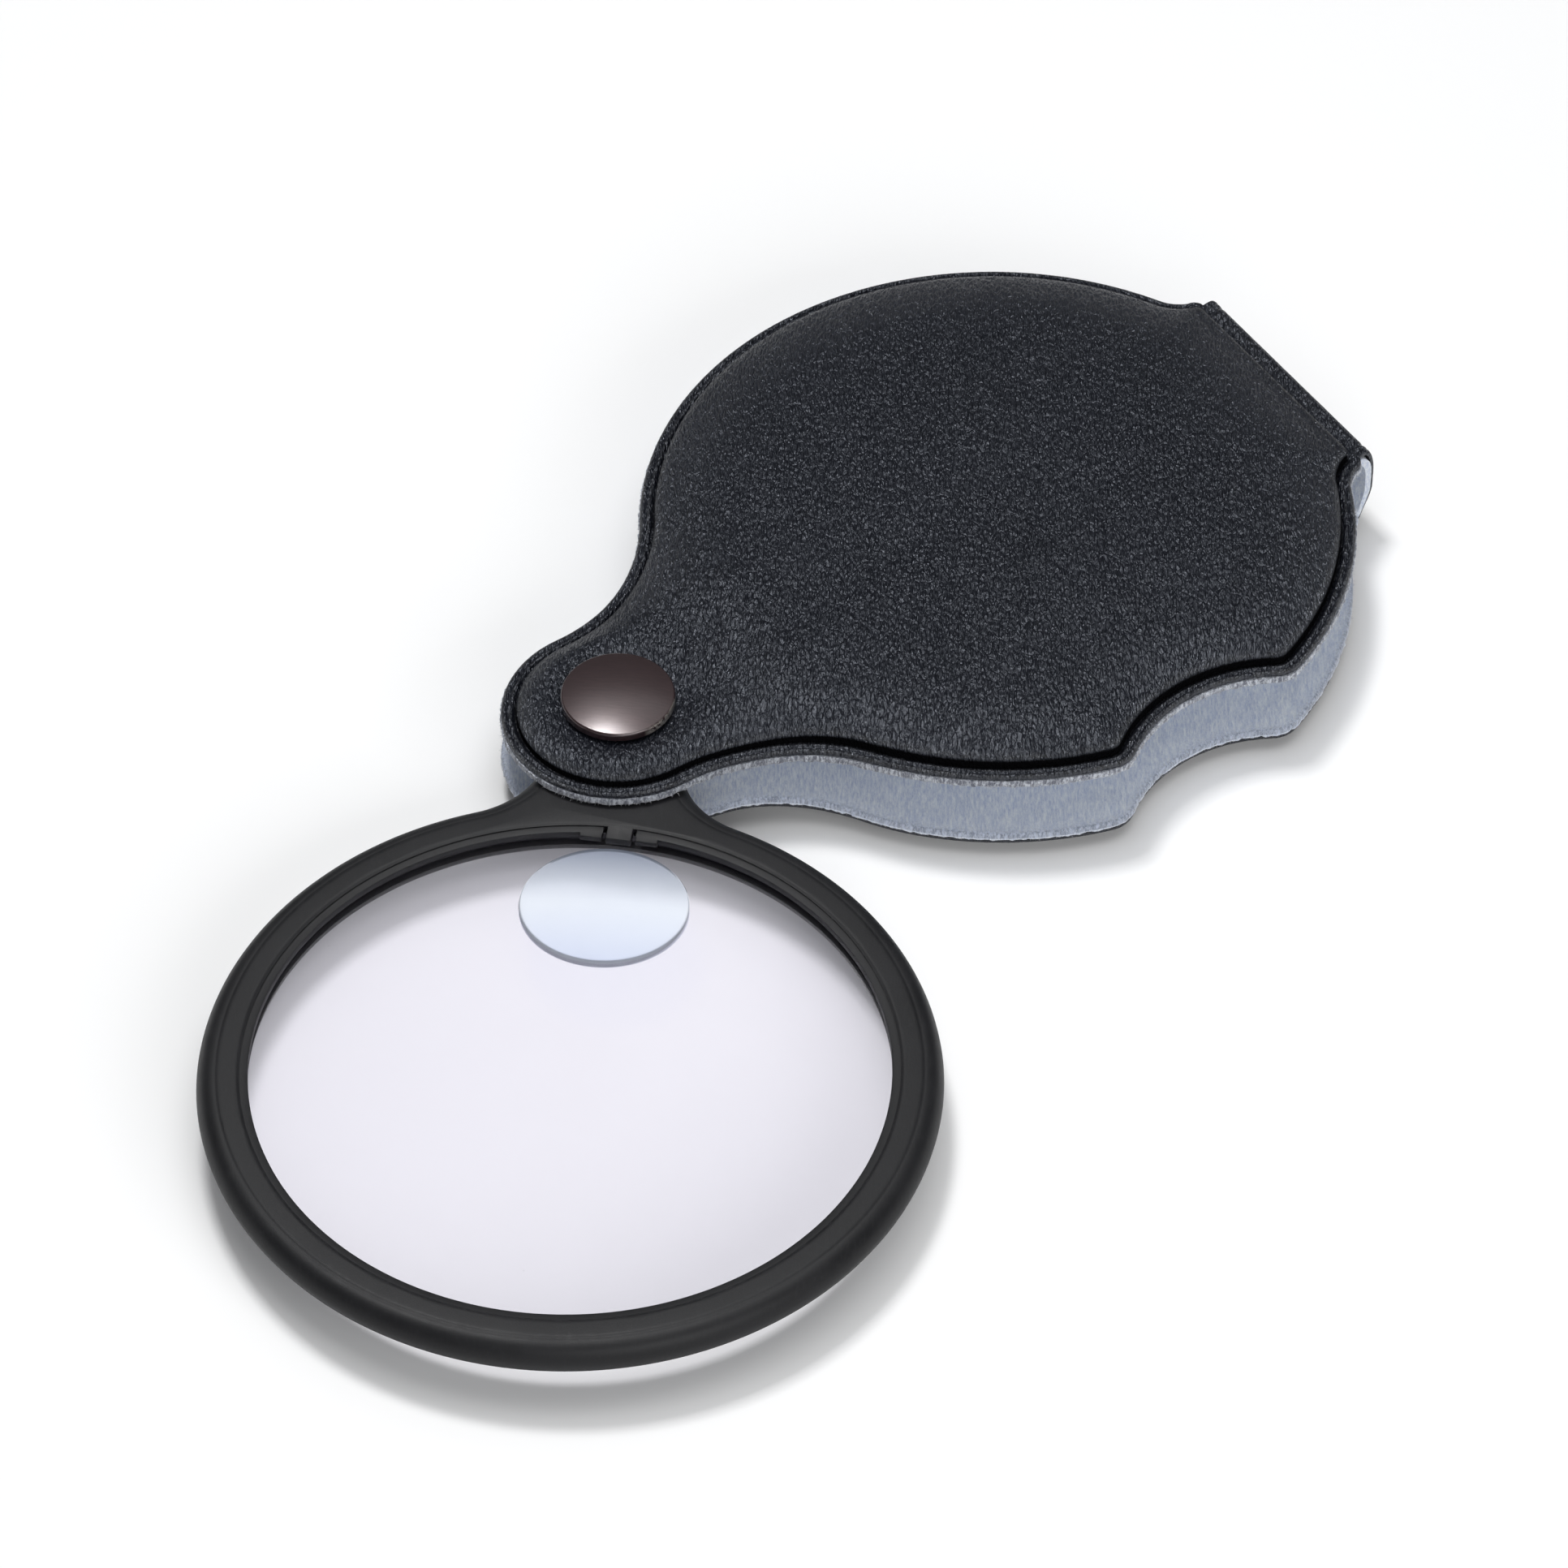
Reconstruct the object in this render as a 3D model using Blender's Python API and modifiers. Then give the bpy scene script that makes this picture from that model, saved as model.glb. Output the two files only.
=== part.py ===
"""Folding pocket magnifier: a round lens in a moulded frame that swings out of a padded leatherette case.

The case is one folded strip, riveted at its narrow end. The rivet is also the pivot of the lens frame.
Units are metres. +Z is up, +X runs from the pivot to the fold of the case, and the origin lies on the
pivot axis in the plane that the closed underside rests on.
"""

import math

import bmesh
import bpy
from mathutils import Matrix, Vector

MM = 0.001

# Driving dimensions
ARM = 43.1 * MM               # pivot axis to lens axis, and to the centre of the case's round body
SWING = math.radians(-129.3)   # direction of the lens arm at rest, counted from the case's long axis
BODY_R = 33.9 * MM            # round body of the case
LOBE_R = 10.9 * MM            # riveted end of the case
NECK_R = 17.0 * MM            # hollow curve between body and riveted end
FRAME_R = 33.7 * MM           # outside of the lens frame
OPENING_R = 29.0 * MM         # clear view through the lens frame
FRAME_HALF = 1.9 * MM         # half the thickness of the lens frame
REST_Z = 6.05 * MM            # height of the mid-plane above the resting plane

# Fold of the case
FOLD_X = ARM + 33.2 * MM      # crease where the panels end and the fold begins
FOLD_HALF_WIDTH = 12.8 * MM
FOLD_DEPTH = 1.1 * MM         # how far the hollow of the fold reaches past the crease
EAR_HALF_WIDTH = 13.4 * MM    # slight shoulder where the border meets the fold
EAR_HOLLOW_R = 4.0 * MM
EAR_CORNER_R = 0.6 * MM

# Thumb notch in the side of the case
NOTCH_X, NOTCH_Y = ARM + 1.9 * MM, -44.2 * MM
NOTCH_R = 15.0 * MM
NOTCH_CORNER_R = 3.0 * MM

# Layers of each panel, as heights over the mid-plane at the riveted end and at the round body
LINING = ((2.00 * MM, 3.10 * MM), (2.45 * MM, 3.55 * MM))
BORDER = ((2.55 * MM, 3.65 * MM), (3.35 * MM, 4.45 * MM))
BOARD = ((2.55 * MM, 3.65 * MM), (3.25 * MM, 4.35 * MM))
FOAM = ((3.35 * MM, 4.45 * MM), (3.65 * MM, 5.15 * MM))
POCKET = ((2.20 * MM, 3.30 * MM), (3.75 * MM, 5.25 * MM))
PAD = ((2.95 * MM, 4.05 * MM), (4.55 * MM, 6.05 * MM))
RISE_FROM, RISE_TO = 5.0 * MM, 18.0 * MM    # stretch along the case where the panels spread apart
PAD_INSET = 1.7 * MM          # welded border round the padding
SKIN = 0.8 * MM               # thickness of the leatherette
FIT = 0.1 * MM                # gap between layers

# Lens
LENS_R = 29.6 * MM
LENS_EDGE_HALF = 0.65 * MM
LENS_CENTRE_HALF = 2.75 * MM
LENS_TURN = math.radians(-3)  # the lens and its key sit slightly round from the arm
SEAT_R = 29.75 * MM
SEAT_HALF = 0.9 * MM
GROOVE_R = 30.1 * MM
GROOVE_TOP = 1.65 * MM
BIFOCAL_OFFSET = 19.9 * MM    # from the lens axis towards the pivot
BIFOCAL_R = 7.8 * MM
BIFOCAL_Z = 1.82 * MM         # middle of its rim, over the mid-plane
BIFOCAL_TILT = math.radians(5.4)    # slope of the lens surface there
BIFOCAL_SAG = 0.55 * MM
BIFOCAL_DEPTH = 1.0 * MM      # rim to underside

# Frame lug and key
FRAME_EDGE_R = 1.6 * MM
LUG_R = 6.8 * MM
LUG_HALF = 1.6 * MM
LUG_RECESS_R = 8.3 * MM       # how far from the pivot the lug stays thin
WEB_R = 9.0 * MM              # hollow curve between frame and lug
KEY_WIDTH = 2.4 * MM
KEY_REACH = 28.2 * MM         # distance from the lens axis to the tip of the key
HOOP_GAP = 3.1 * MM           # space between the ends of the retaining hoop
HOOP_END = 2.1 * MM           # width of the thickened ends

# Rivet
TUBE_R = 2.4 * MM
TUBE_BORE_R = 1.7 * MM
SHANK_R = 1.6 * MM
HOLE_R = 2.6 * MM
BEARING_R = 2.48 * MM         # hole in the lens frame, which runs on the tube
WASHER_R = 5.6 * MM
WASHER = (1.65 * MM, 1.95 * MM)
CAP_R = 5.35 * MM
CAP_SHEET = 0.35 * MM
CAP_HEIGHT = 1.5 * MM
CAP_LIP_R = 4.2 * MM
CAP_SEAT = PAD[1][0] + FIT    # height of the cap's rim over the mid-plane
FLANGE_R = 4.7 * MM
FLANGE = 0.3 * MM

TURN_STEPS = 60               # facets of a large turned shape
SMALL_STEPS = 32              # facets of the rivet and the bifocal lens
ARC_STEP = math.radians(9)    # longest step along an outline's arc
SHARP_ANGLE = math.radians(30)
CUTTER_REACH = 20.0 * MM      # how far a cutter runs past the shape that it cuts


# Scene

def clear_scene():
    for old in list(bpy.data.objects):
        bpy.data.objects.remove(old, do_unlink=True)


def new_collection(name):
    made = bpy.data.collections.new(name)
    bpy.context.scene.collection.children.link(made)
    return made


def new_empty(name, location, turn=0.0):
    empty = bpy.data.objects.new(name, None)
    empty.location = location
    empty.rotation_euler = (0, 0, turn)
    PARTS.objects.link(empty)
    return empty


def principled(name, color, roughness, metallic=0.0, transmission=0.0):
    made = bpy.data.materials.new(name)
    made.use_nodes = True
    shader = made.node_tree.nodes["Principled BSDF"]
    shader.inputs["Base Color"].default_value = (*color, 1.0)
    shader.inputs["Roughness"].default_value = roughness
    shader.inputs["Metallic"].default_value = metallic
    shader.inputs["Transmission Weight"].default_value = transmission
    return made


def place(obj, parent, material=None):
    """Hangs an object on its empty: a part in the part collection, or a cutter, which isn't rendered."""
    home = PARTS if material else CUTTERS
    home.objects.link(obj)
    obj.parent = parent
    if material:
        obj.data.materials.append(material)
    else:
        obj.hide_render = True
        obj.display_type = "WIRE"
    return obj


# Shapes

def mesh_object(name, bm):
    bmesh.ops.recalc_face_normals(bm, faces=bm.faces)
    for face in bm.faces:
        face.smooth = True
    mesh = bpy.data.meshes.new(name)
    bm.to_mesh(mesh)
    bm.free()
    return bpy.data.objects.new(name, mesh)


def flat_outline(name, points, low, high, edge_round=0.0, upright=False):
    """A closed outline as a solid between two heights. Upright, its points are (x, z) and its heights are -y."""
    curve = bpy.data.curves.new(name, "CURVE")
    curve.dimensions = "2D"
    curve.fill_mode = "BOTH"
    curve.extrude = (high - low) / 2 - edge_round
    curve.bevel_depth = edge_round
    curve.bevel_resolution = 2
    curve.offset = -edge_round
    spline = curve.splines.new("POLY")
    spline.points.add(len(points) - 1)
    for slot, (x, y) in zip(spline.points, points):
        slot.co = (x, y, 0, 1)
    spline.use_cyclic_u = True
    sketch = bpy.data.objects.new(name + "_sketch", curve)
    bpy.context.scene.collection.objects.link(sketch)
    bpy.context.view_layer.update()
    evaluated = sketch.evaluated_get(bpy.context.evaluated_depsgraph_get())
    mesh = bpy.data.meshes.new_from_object(evaluated)
    bpy.data.objects.remove(sketch)
    bpy.data.curves.remove(curve)
    bm = bmesh.new()
    bm.from_mesh(mesh)
    bpy.data.meshes.remove(mesh)
    bmesh.ops.remove_doubles(bm, verts=bm.verts, dist=1e-7)
    bmesh.ops.translate(bm, verts=bm.verts, vec=(0, 0, (high + low) / 2))
    if upright:
        bmesh.ops.rotate(bm, verts=bm.verts, matrix=Matrix.Rotation(math.pi / 2, 3, "X"))
    return mesh_object(name, bm)


def turned(name, profile, steps, centre=(0, 0), closed=False):
    """A profile of (radius, z) points swept round a vertical axis. It runs down its outer side."""
    mesh = bpy.data.meshes.new(name)
    count = len(profile)
    edges = [(i, i + 1) for i in range(count - 1)]
    if closed:
        edges.append((count - 1, 0))
    mesh.from_pydata([(r, 0, z) for r, z in profile], edges, [])
    obj = bpy.data.objects.new(name, mesh)
    obj.location = (centre[0], centre[1], 0)
    screw = obj.modifiers.new("turn", "SCREW")
    screw.steps = steps
    screw.render_steps = steps
    screw.use_merge_vertices = True
    screw.merge_threshold = 1e-6
    screw.use_smooth_shade = True
    return obj


def dome(radius, edge_z, top_z, steps):
    """Points of a spherical cap's profile, from the axis out to the edge."""
    sag = top_z - edge_z
    sphere = (radius * radius + sag * sag) / (2 * sag)
    radii = [radius * i / steps for i in range(steps + 1)]
    return [(r, top_z - sphere + math.sqrt(sphere * sphere - r * r)) for r in radii]


def disc(name, radius, low, high, centre=(0, 0), steps=SMALL_STEPS):
    bm = bmesh.new()
    bmesh.ops.create_cone(
        bm, cap_ends=True, segments=steps, radius1=radius, radius2=radius, depth=high - low
    )
    bmesh.ops.translate(bm, verts=bm.verts, vec=(centre[0], centre[1], (high + low) / 2))
    return mesh_object(name, bm)


def block(name, size, centre, turn=0.0, about=(0, 0)):
    """A box of a given size, turned about a vertical axis through a point."""
    bm = bmesh.new()
    bmesh.ops.create_cube(bm, size=1.0)
    bmesh.ops.scale(bm, verts=bm.verts, vec=size)
    bmesh.ops.translate(bm, verts=bm.verts, vec=centre)
    bmesh.ops.rotate(
        bm,
        verts=bm.verts,
        cent=(about[0], about[1], 0),
        matrix=Matrix.Rotation(turn, 3, "Z"),
    )
    return mesh_object(name, bm)


def boolean(obj, other, operation):
    if not other.users_collection:
        place(other, obj.parent)
    modifier = obj.modifiers.new(operation.lower(), "BOOLEAN")
    modifier.operation = operation
    modifier.solver = "EXACT"
    modifier.object = other


def cut(obj, other):
    boolean(obj, other, "DIFFERENCE")


def join(obj, other):
    boolean(obj, other, "UNION")


def trim(obj, other):
    boolean(obj, other, "INTERSECT")


def sharpen_edges(obj):
    """Keeps curved faces smooth and corners crisp."""
    split = obj.modifiers.new("crisp_edges", "EDGE_SPLIT")
    split.split_angle = SHARP_ANGLE


# Outlines

def arc(centre, radius, start, end):
    """Points of an arc between two angles. The angle falls where end is the smaller."""
    steps = max(2, math.ceil(abs(end - start) / ARC_STEP))
    angles = [start + (end - start) * i / steps for i in range(steps + 1)]
    return [(centre[0] + radius * math.cos(a), centre[1] + radius * math.sin(a)) for a in angles]


def angle_to(origin, target):
    return math.atan2(target[1] - origin[1], target[0] - origin[0])


def crossing(c1, r1, c2, r2, side):
    """The point where two circles cross, on the left (side 1) or right (side -1) of the line c1 to c2."""
    gap = Vector(c2) - Vector(c1)
    along = (r1 * r1 - r2 * r2 + gap.length_squared) / (2 * gap.length)
    across = math.sqrt(r1 * r1 - along * along)
    ahead = gap.normalized()
    left = Vector((-ahead.y, ahead.x))
    return tuple(Vector(c1) + ahead * along + left * across * side)


def joined(*runs):
    """Runs of points as one outline, with the points that two runs share taken once."""
    points = []
    for run in runs:
        for point in run:
            if not points or math.dist(points[-1], point) > 1e-6:
                points.append(point)
    if math.dist(points[0], points[-1]) < 1e-6:
        points.pop()
    return points


def mirrored(points):
    return [(x, -y) for x, y in reversed(points)]


def case_side(inset, end_x):
    """The case's outline on its +Y side, from the tip of the riveted end to the crease, moved in by inset."""
    pivot, body = (0.0, 0.0), (ARM, 0.0)
    neck = crossing(pivot, LOBE_R + NECK_R, body, BODY_R + NECK_R, 1)
    hollow_y = EAR_HALF_WIDTH + EAR_HOLLOW_R
    hollow_reach = BODY_R + EAR_HOLLOW_R
    hollow = (ARM + math.sqrt(hollow_reach**2 - hollow_y**2), hollow_y)
    hollow_r = EAR_HOLLOW_R + inset
    corner_r = max(EAR_CORNER_R - inset, 0.3 * MM)
    corner_x = end_x - corner_r
    short = math.asin(max(hollow[0] - corner_x, 0) / hollow_r)
    ear_y = hollow_y - hollow_r * math.cos(short)
    return joined(
        arc(pivot, LOBE_R - inset, math.pi, angle_to(pivot, neck)),
        arc(neck, NECK_R + inset, angle_to(neck, pivot) + 2 * math.pi, angle_to(neck, body) + 2 * math.pi),
        arc(body, BODY_R - inset, angle_to(body, neck), angle_to(body, hollow)),
        arc(hollow, hollow_r, angle_to(hollow, body) + 2 * math.pi, 1.5 * math.pi - short),
        arc((corner_x, ear_y - corner_r), corner_r, math.pi / 2, 0),
    )


def notch_run(inset):
    """The thumb notch with its rounded corners, in order of falling x."""
    body, notch = (ARM, 0.0), (NOTCH_X, NOTCH_Y)
    corner_r = NOTCH_CORNER_R - inset
    corners = [
        crossing(body, BODY_R - NOTCH_CORNER_R, notch, NOTCH_R + NOTCH_CORNER_R, side)
        for side in (1, -1)
    ]
    near, far = corners
    return joined(
        arc(near, corner_r, angle_to(body, near), angle_to(near, notch)),
        arc(notch, NOTCH_R + inset, angle_to(notch, near), angle_to(notch, far)),
        arc(far, corner_r, angle_to(far, notch), angle_to(body, far)),
    )


def case_outline(inset, end_x, tongue_x=None):
    """The plan of a panel. With tongue_x, the strip of the fold carries on from the crease to there."""
    upper = case_side(inset, end_x)
    lower = mirrored(upper)
    notch = notch_run(inset)
    first, last = notch[0], notch[-1]
    body = Vector((ARM, 0.0))
    start, stop = (angle_to(body, p) for p in (first, last))
    kept_before, kept_after = [], []
    for point in lower:
        bearing = angle_to(body, point)
        on_arc = abs(math.dist(body, point) - (BODY_R - inset)) < 1e-6
        if on_arc and stop - 1e-6 < bearing < start + 1e-6:
            continue
        is_before = not on_arc and point[0] > ARM or on_arc and bearing >= start
        (kept_before if is_before else kept_after).append(point)
    tongue = []
    if tongue_x:
        tongue = [
            (end_x, FOLD_HALF_WIDTH),
            (tongue_x, FOLD_HALF_WIDTH),
            (tongue_x, -FOLD_HALF_WIDTH),
            (end_x, -FOLD_HALF_WIDTH),
        ]
    return joined(upper, tongue, kept_before, notch, kept_after)


def frame_outline():
    """The plan of the lens frame with its lug, the arm along +X."""
    pivot, lens = (0.0, 0.0), (ARM, 0.0)
    web = crossing(pivot, LUG_R + WEB_R, lens, FRAME_R + WEB_R, 1)
    upper = joined(
        arc(pivot, LUG_R, math.pi, angle_to(pivot, web)),
        arc(web, WEB_R, angle_to(web, pivot), angle_to(web, lens)),
        arc(lens, FRAME_R, angle_to(lens, web), 0),
    )
    return joined(upper, mirrored(upper))


# Layers of the case

def rise(x):
    """How far the panels have spread at x, from 0 at the riveted end to 1 at the body."""
    t = min(max((x - RISE_FROM) / (RISE_TO - RISE_FROM), 0), 1)
    return t * t * (3 - 2 * t)


def level(x, heights):
    return heights[0] + (heights[1] - heights[0]) * rise(x)


def rise_stations(end_x):
    """Places along the case where a layer's profile has a point."""
    steps = 5
    bend = [RISE_FROM + (RISE_TO - RISE_FROM) * i / steps for i in range(steps + 1)]
    return [-LOBE_R - 2 * MM, *bend, end_x]


def panel_slab(name, layer, inset, end_x, side):
    """One layer of one panel: side 1 is the upper panel, and side -1 the lower."""
    stations = rise_stations(end_x)
    low = [(x, side * level(x, layer[0])) for x in stations]
    high = [(x, side * level(x, layer[1])) for x in stations]
    wide = BODY_R + CUTTER_REACH
    slab = flat_outline(name, low + high[::-1], -wide, wide, upright=True)
    return slab, case_outline(inset, end_x)


def layer_part(name, layer, inset, end_x, side, material):
    slab, plan = panel_slab(name, layer, inset, end_x, side)
    place(slab, CASE, material)
    trim(slab, flat_outline(name + "_plan", plan, -CUTTER_REACH, CUTTER_REACH))
    cut(slab, disc(name + "_hole", HOLE_R, -CUTTER_REACH, CUTTER_REACH))
    return slab


def layer_cutter(name, layer, inset, end_x, side):
    """A layer's shape as a finished mesh, so that it can join or cut another piece."""
    slab, plan = panel_slab(name, layer, inset, end_x, side)
    place(slab, CASE)
    trim(slab, flat_outline(name + "_plan", plan, -CUTTER_REACH, CUTTER_REACH))
    return slab


def folded_strip(name, layer, material):
    """A layer that runs along the upper panel, round the fold and back along the lower panel."""
    stations = rise_stations(FOLD_X)
    fold_steps = 8
    rings = []
    for heights in layer:
        depth = FOLD_DEPTH + heights[1] - LINING[0][1]
        upper = [(x, level(x, heights)) for x in stations]
        turn = [math.pi / 2 - math.pi * i / fold_steps for i in range(1, fold_steps)]
        fold = [(FOLD_X + depth * math.cos(a), heights[1] * math.sin(a)) for a in turn]
        lower = [(x, -z) for x, z in reversed(upper)]
        rings.append(upper + fold + lower)
    inner, outer = rings
    wide = BODY_R + CUTTER_REACH
    strip = flat_outline(name, outer + inner[::-1], -wide, wide, upright=True)
    place(strip, CASE, material)
    plan = case_outline(0.0, FOLD_X, FOLD_X + CUTTER_REACH)
    trim(strip, flat_outline(name + "_plan", plan, -CUTTER_REACH, CUTTER_REACH))
    return strip


def build_case():
    skin = folded_strip("case_skin", BORDER, LEATHERETTE)
    pad_end = FOLD_X - 0.3 * MM
    for side, label in ((1, "upper"), (-1, "lower")):
        join(skin, layer_cutter(f"pad_{label}", PAD, PAD_INSET, pad_end, side))
        pocket_inset = PAD_INSET + SKIN
        cut(skin, layer_cutter(f"pocket_{label}", POCKET, pocket_inset, pad_end - SKIN, side))
        inner_inset, inner_end = pocket_inset + FIT, pad_end - SKIN - FIT
        layer_part(f"{label}_stiffener_board", BOARD, inner_inset, inner_end, side, GREYBOARD)
        layer_part(f"{label}_foam_pad", FOAM, inner_inset, inner_end, side, FOAM_GREY)
    cut(skin, disc("skin_hole", HOLE_R, -CUTTER_REACH, CUTTER_REACH))
    lining = folded_strip("case_lining", LINING, LINING_GREY)
    cut(lining, disc("lining_hole", HOLE_R, -CUTTER_REACH, CUTTER_REACH))


# Rivet

def cap_profile():
    """The upper cap: a domed shell whose rim is rolled in under the flange that it holds."""
    shoulder = CAP_SHEET + FLANGE + 2 * FIT
    inner_r = CAP_R - CAP_SHEET
    outside = dome(CAP_R, shoulder, CAP_HEIGHT, 5)
    roll = [(CAP_R, CAP_SHEET), (CAP_R - CAP_SHEET / 2, 0), (CAP_LIP_R, 0), (CAP_LIP_R, CAP_SHEET)]
    ceiling = dome(inner_r, shoulder, CAP_HEIGHT - CAP_SHEET, 4)
    return outside + roll + [(inner_r, CAP_SHEET)] + ceiling[::-1]


def lifted(profile, height):
    return [(r, z + height) for r, z in profile]


def build_rivet():
    cap = turned("rivet_cap", lifted(cap_profile(), CAP_SEAT), SMALL_STEPS)
    place(cap, CASE, DARK_BRONZE)

    flange_low = CAP_SEAT + CAP_SHEET + FIT
    base_seat = -CAP_SEAT - CAP_SHEET - FLANGE - FIT
    shank_end = base_seat + 2 * FLANGE + FIT
    post = [
        (0, flange_low + FLANGE),
        (FLANGE_R, flange_low + FLANGE),
        (FLANGE_R, flange_low),
        (SHANK_R, flange_low),
        (SHANK_R, shank_end + 0.4 * MM),
        (SHANK_R - 0.4 * MM, shank_end),
        (0, shank_end),
    ]
    place(turned("rivet_post", post, SMALL_STEPS), CASE, STEEL)

    tube = [
        (TUBE_BORE_R, flange_low - FIT),
        (TUBE_R, flange_low - FIT),
        (TUBE_R, base_seat + FLANGE),
        (FLANGE_R, base_seat + FLANGE),
        (FLANGE_R, base_seat),
        (TUBE_BORE_R, base_seat),
    ]
    place(turned("rivet_tube", tube, SMALL_STEPS, closed=True), CASE, STEEL)

    floor = -REST_Z
    inner_r = CAP_R - CAP_SHEET
    base = [
        (0, base_seat - FIT),
        (inner_r, base_seat - FIT),
        (inner_r, -CAP_SEAT - CAP_SHEET),
        (CAP_LIP_R, -CAP_SEAT - CAP_SHEET),
        (CAP_LIP_R, -CAP_SEAT),
        (CAP_R - CAP_SHEET / 2, -CAP_SEAT),
        (CAP_R, -CAP_SEAT - CAP_SHEET),
        (CAP_R, floor + CAP_SHEET),
        (CAP_R - CAP_SHEET, floor),
        (0, floor),
    ]
    place(turned("rivet_base_cap", base, SMALL_STEPS), CASE, DARK_BRONZE)

    for side, label in ((1, "upper"), (-1, "lower")):
        low, high = sorted(side * z for z in WASHER)
        washer = [(HOLE_R, high), (WASHER_R, high), (WASHER_R, low), (HOLE_R, low)]
        place(turned(f"{label}_pivot_washer", washer, SMALL_STEPS, closed=True), CASE, NYLON)


# Lens and frame

def build_frame():
    frame = flat_outline(
        "lens_frame", frame_outline(), -FRAME_HALF, FRAME_HALF, edge_round=FRAME_EDGE_R
    )
    place(frame, LENS_ARM, BLACK_PLASTIC)
    past = FRAME_HALF + CUTTER_REACH
    bore = [
        (0, past),
        (SEAT_R, past),
        (SEAT_R, GROOVE_TOP + FIT),
        (GROOVE_R, GROOVE_TOP + FIT),
        (GROOVE_R, SEAT_HALF),
        (SEAT_R, SEAT_HALF),
        (SEAT_R, -SEAT_HALF),
        (OPENING_R, -SEAT_HALF),
        (OPENING_R, -past),
        (0, -past),
    ]
    cut(frame, turned("lens_bore", bore, TURN_STEPS, centre=(ARM, 0)))
    for side, label in ((1, "upper"), (-1, "lower")):
        low, high = sorted((side * LUG_HALF, side * past))
        cut(frame, disc(f"washer_recess_{label}", LUG_RECESS_R, low, high))
    cut(frame, disc("pivot_hole", BEARING_R, -past, past))
    key_length = GROOVE_R + 0.6 * MM - KEY_REACH
    key_low = SEAT_HALF + FIT
    key_high = FRAME_HALF - FIT
    key = block(
        "lens_key",
        (key_length, KEY_WIDTH, key_high - key_low),
        (ARM - KEY_REACH - key_length / 2, 0, (key_high + key_low) / 2),
        turn=LENS_TURN,
        about=(ARM, 0),
    )
    join(frame, key)


def build_hoop():
    """The split hoop that springs into the frame's groove and holds the lens in."""
    low, high = SEAT_HALF + FIT, GROOVE_TOP
    hoop_r = GROOVE_R - FIT
    ring = [(OPENING_R, high), (hoop_r, high), (hoop_r, low), (OPENING_R, low)]
    hoop = turned("lens_retaining_hoop", ring, TURN_STEPS, centre=(ARM, 0), closed=True)
    place(hoop, LENS_ARM, BLACK_PLASTIC)
    length = 4 * MM
    gap = block(
        "hoop_gap",
        (length, HOOP_GAP, 4 * MM),
        (ARM - OPENING_R, 0, (low + high) / 2),
        turn=LENS_TURN,
        about=(ARM, 0),
    )
    cut(hoop, gap)
    end_length = 1.1 * MM
    for side, label in ((1, "left"), (-1, "right")):
        end = block(
            f"hoop_end_{label}",
            (end_length, HOOP_END, high - low),
            (
                ARM - OPENING_R + 0.1 * MM,
                side * (HOOP_GAP + HOOP_END) / 2,
                (low + high) / 2,
            ),
            turn=LENS_TURN,
            about=(ARM, 0),
        )
        join(hoop, end)


def seat_in_lens(obj):
    """Moves a shape made at the origin to the bifocal's place in the lens, square to the lens surface."""
    offset = Matrix.Rotation(LENS_TURN, 2) @ Vector((-BIFOCAL_OFFSET, 0))
    obj.location = (ARM + offset.x, offset.y, BIFOCAL_Z)
    obj.rotation_euler = (0, -BIFOCAL_TILT, LENS_TURN)
    return obj


def build_lens():
    upper = dome(LENS_R, LENS_EDGE_HALF, LENS_CENTRE_HALF, 4)
    lower = [(r, -z) for r, z in reversed(upper)]
    lens = turned("main_lens", upper + lower, TURN_STEPS, centre=(ARM, 0))
    place(lens, LENS_ARM, CLEAR_ACRYLIC)
    seat = disc("bifocal_seat", BIFOCAL_R + FIT, -BIFOCAL_DEPTH - FIT / 2, CUTTER_REACH)
    cut(lens, seat_in_lens(seat))

    profile = dome(BIFOCAL_R, 0, BIFOCAL_SAG, 3) + [(BIFOCAL_R, -BIFOCAL_DEPTH), (0, -BIFOCAL_DEPTH)]
    bifocal = turned("bifocal_lens", profile, SMALL_STEPS)
    place(seat_in_lens(bifocal), LENS_ARM, CLEAR_ACRYLIC)


clear_scene()
PARTS = new_collection("folding_magnifier")
CUTTERS = new_collection("cutters")
CUTTERS.hide_render = True

LEATHERETTE = principled("black_leatherette", (0.026, 0.027, 0.030), 0.45)
LINING_GREY = principled("grey_lining", (0.33, 0.36, 0.45), 0.95)
GREYBOARD = principled("greyboard", (0.30, 0.27, 0.22), 0.9)
FOAM_GREY = principled("foam", (0.18, 0.18, 0.19), 0.95)
BLACK_PLASTIC = principled("black_plastic", (0.022, 0.022, 0.024), 0.4)
CLEAR_ACRYLIC = principled("clear_acrylic", (0.95, 0.96, 1.0), 0.02, transmission=1.0)
DARK_BRONZE = principled("dark_bronze", (0.055, 0.024, 0.022), 0.25, metallic=1.0)
STEEL = principled("plated_steel", (0.62, 0.60, 0.56), 0.3, metallic=1.0)
NYLON = principled("nylon", (0.75, 0.74, 0.70), 0.5)

CASE = new_empty("case_mid_plane", (0, 0, REST_Z))
LENS_ARM = new_empty("lens_swivel", (0, 0, REST_Z), SWING)
build_case()
build_rivet()
build_frame()
build_hoop()
build_lens()
for part in PARTS.objects:
    if part.type == "MESH":
        sharpen_edges(part)
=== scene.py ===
"""Looks for the folding pocket magnifier: fine surfaces that stand for the CAD solids.

Lengths are in millimetres, and become metres where a mesh is made. +X runs from the pivot along the
case to its fold, +Z is up, and the origin lies on the pivot axis in the plane of the underside.
"""

import math
import random

import bmesh
import bpy
import numpy as np
from mathutils import Matrix, Vector, noise


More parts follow.
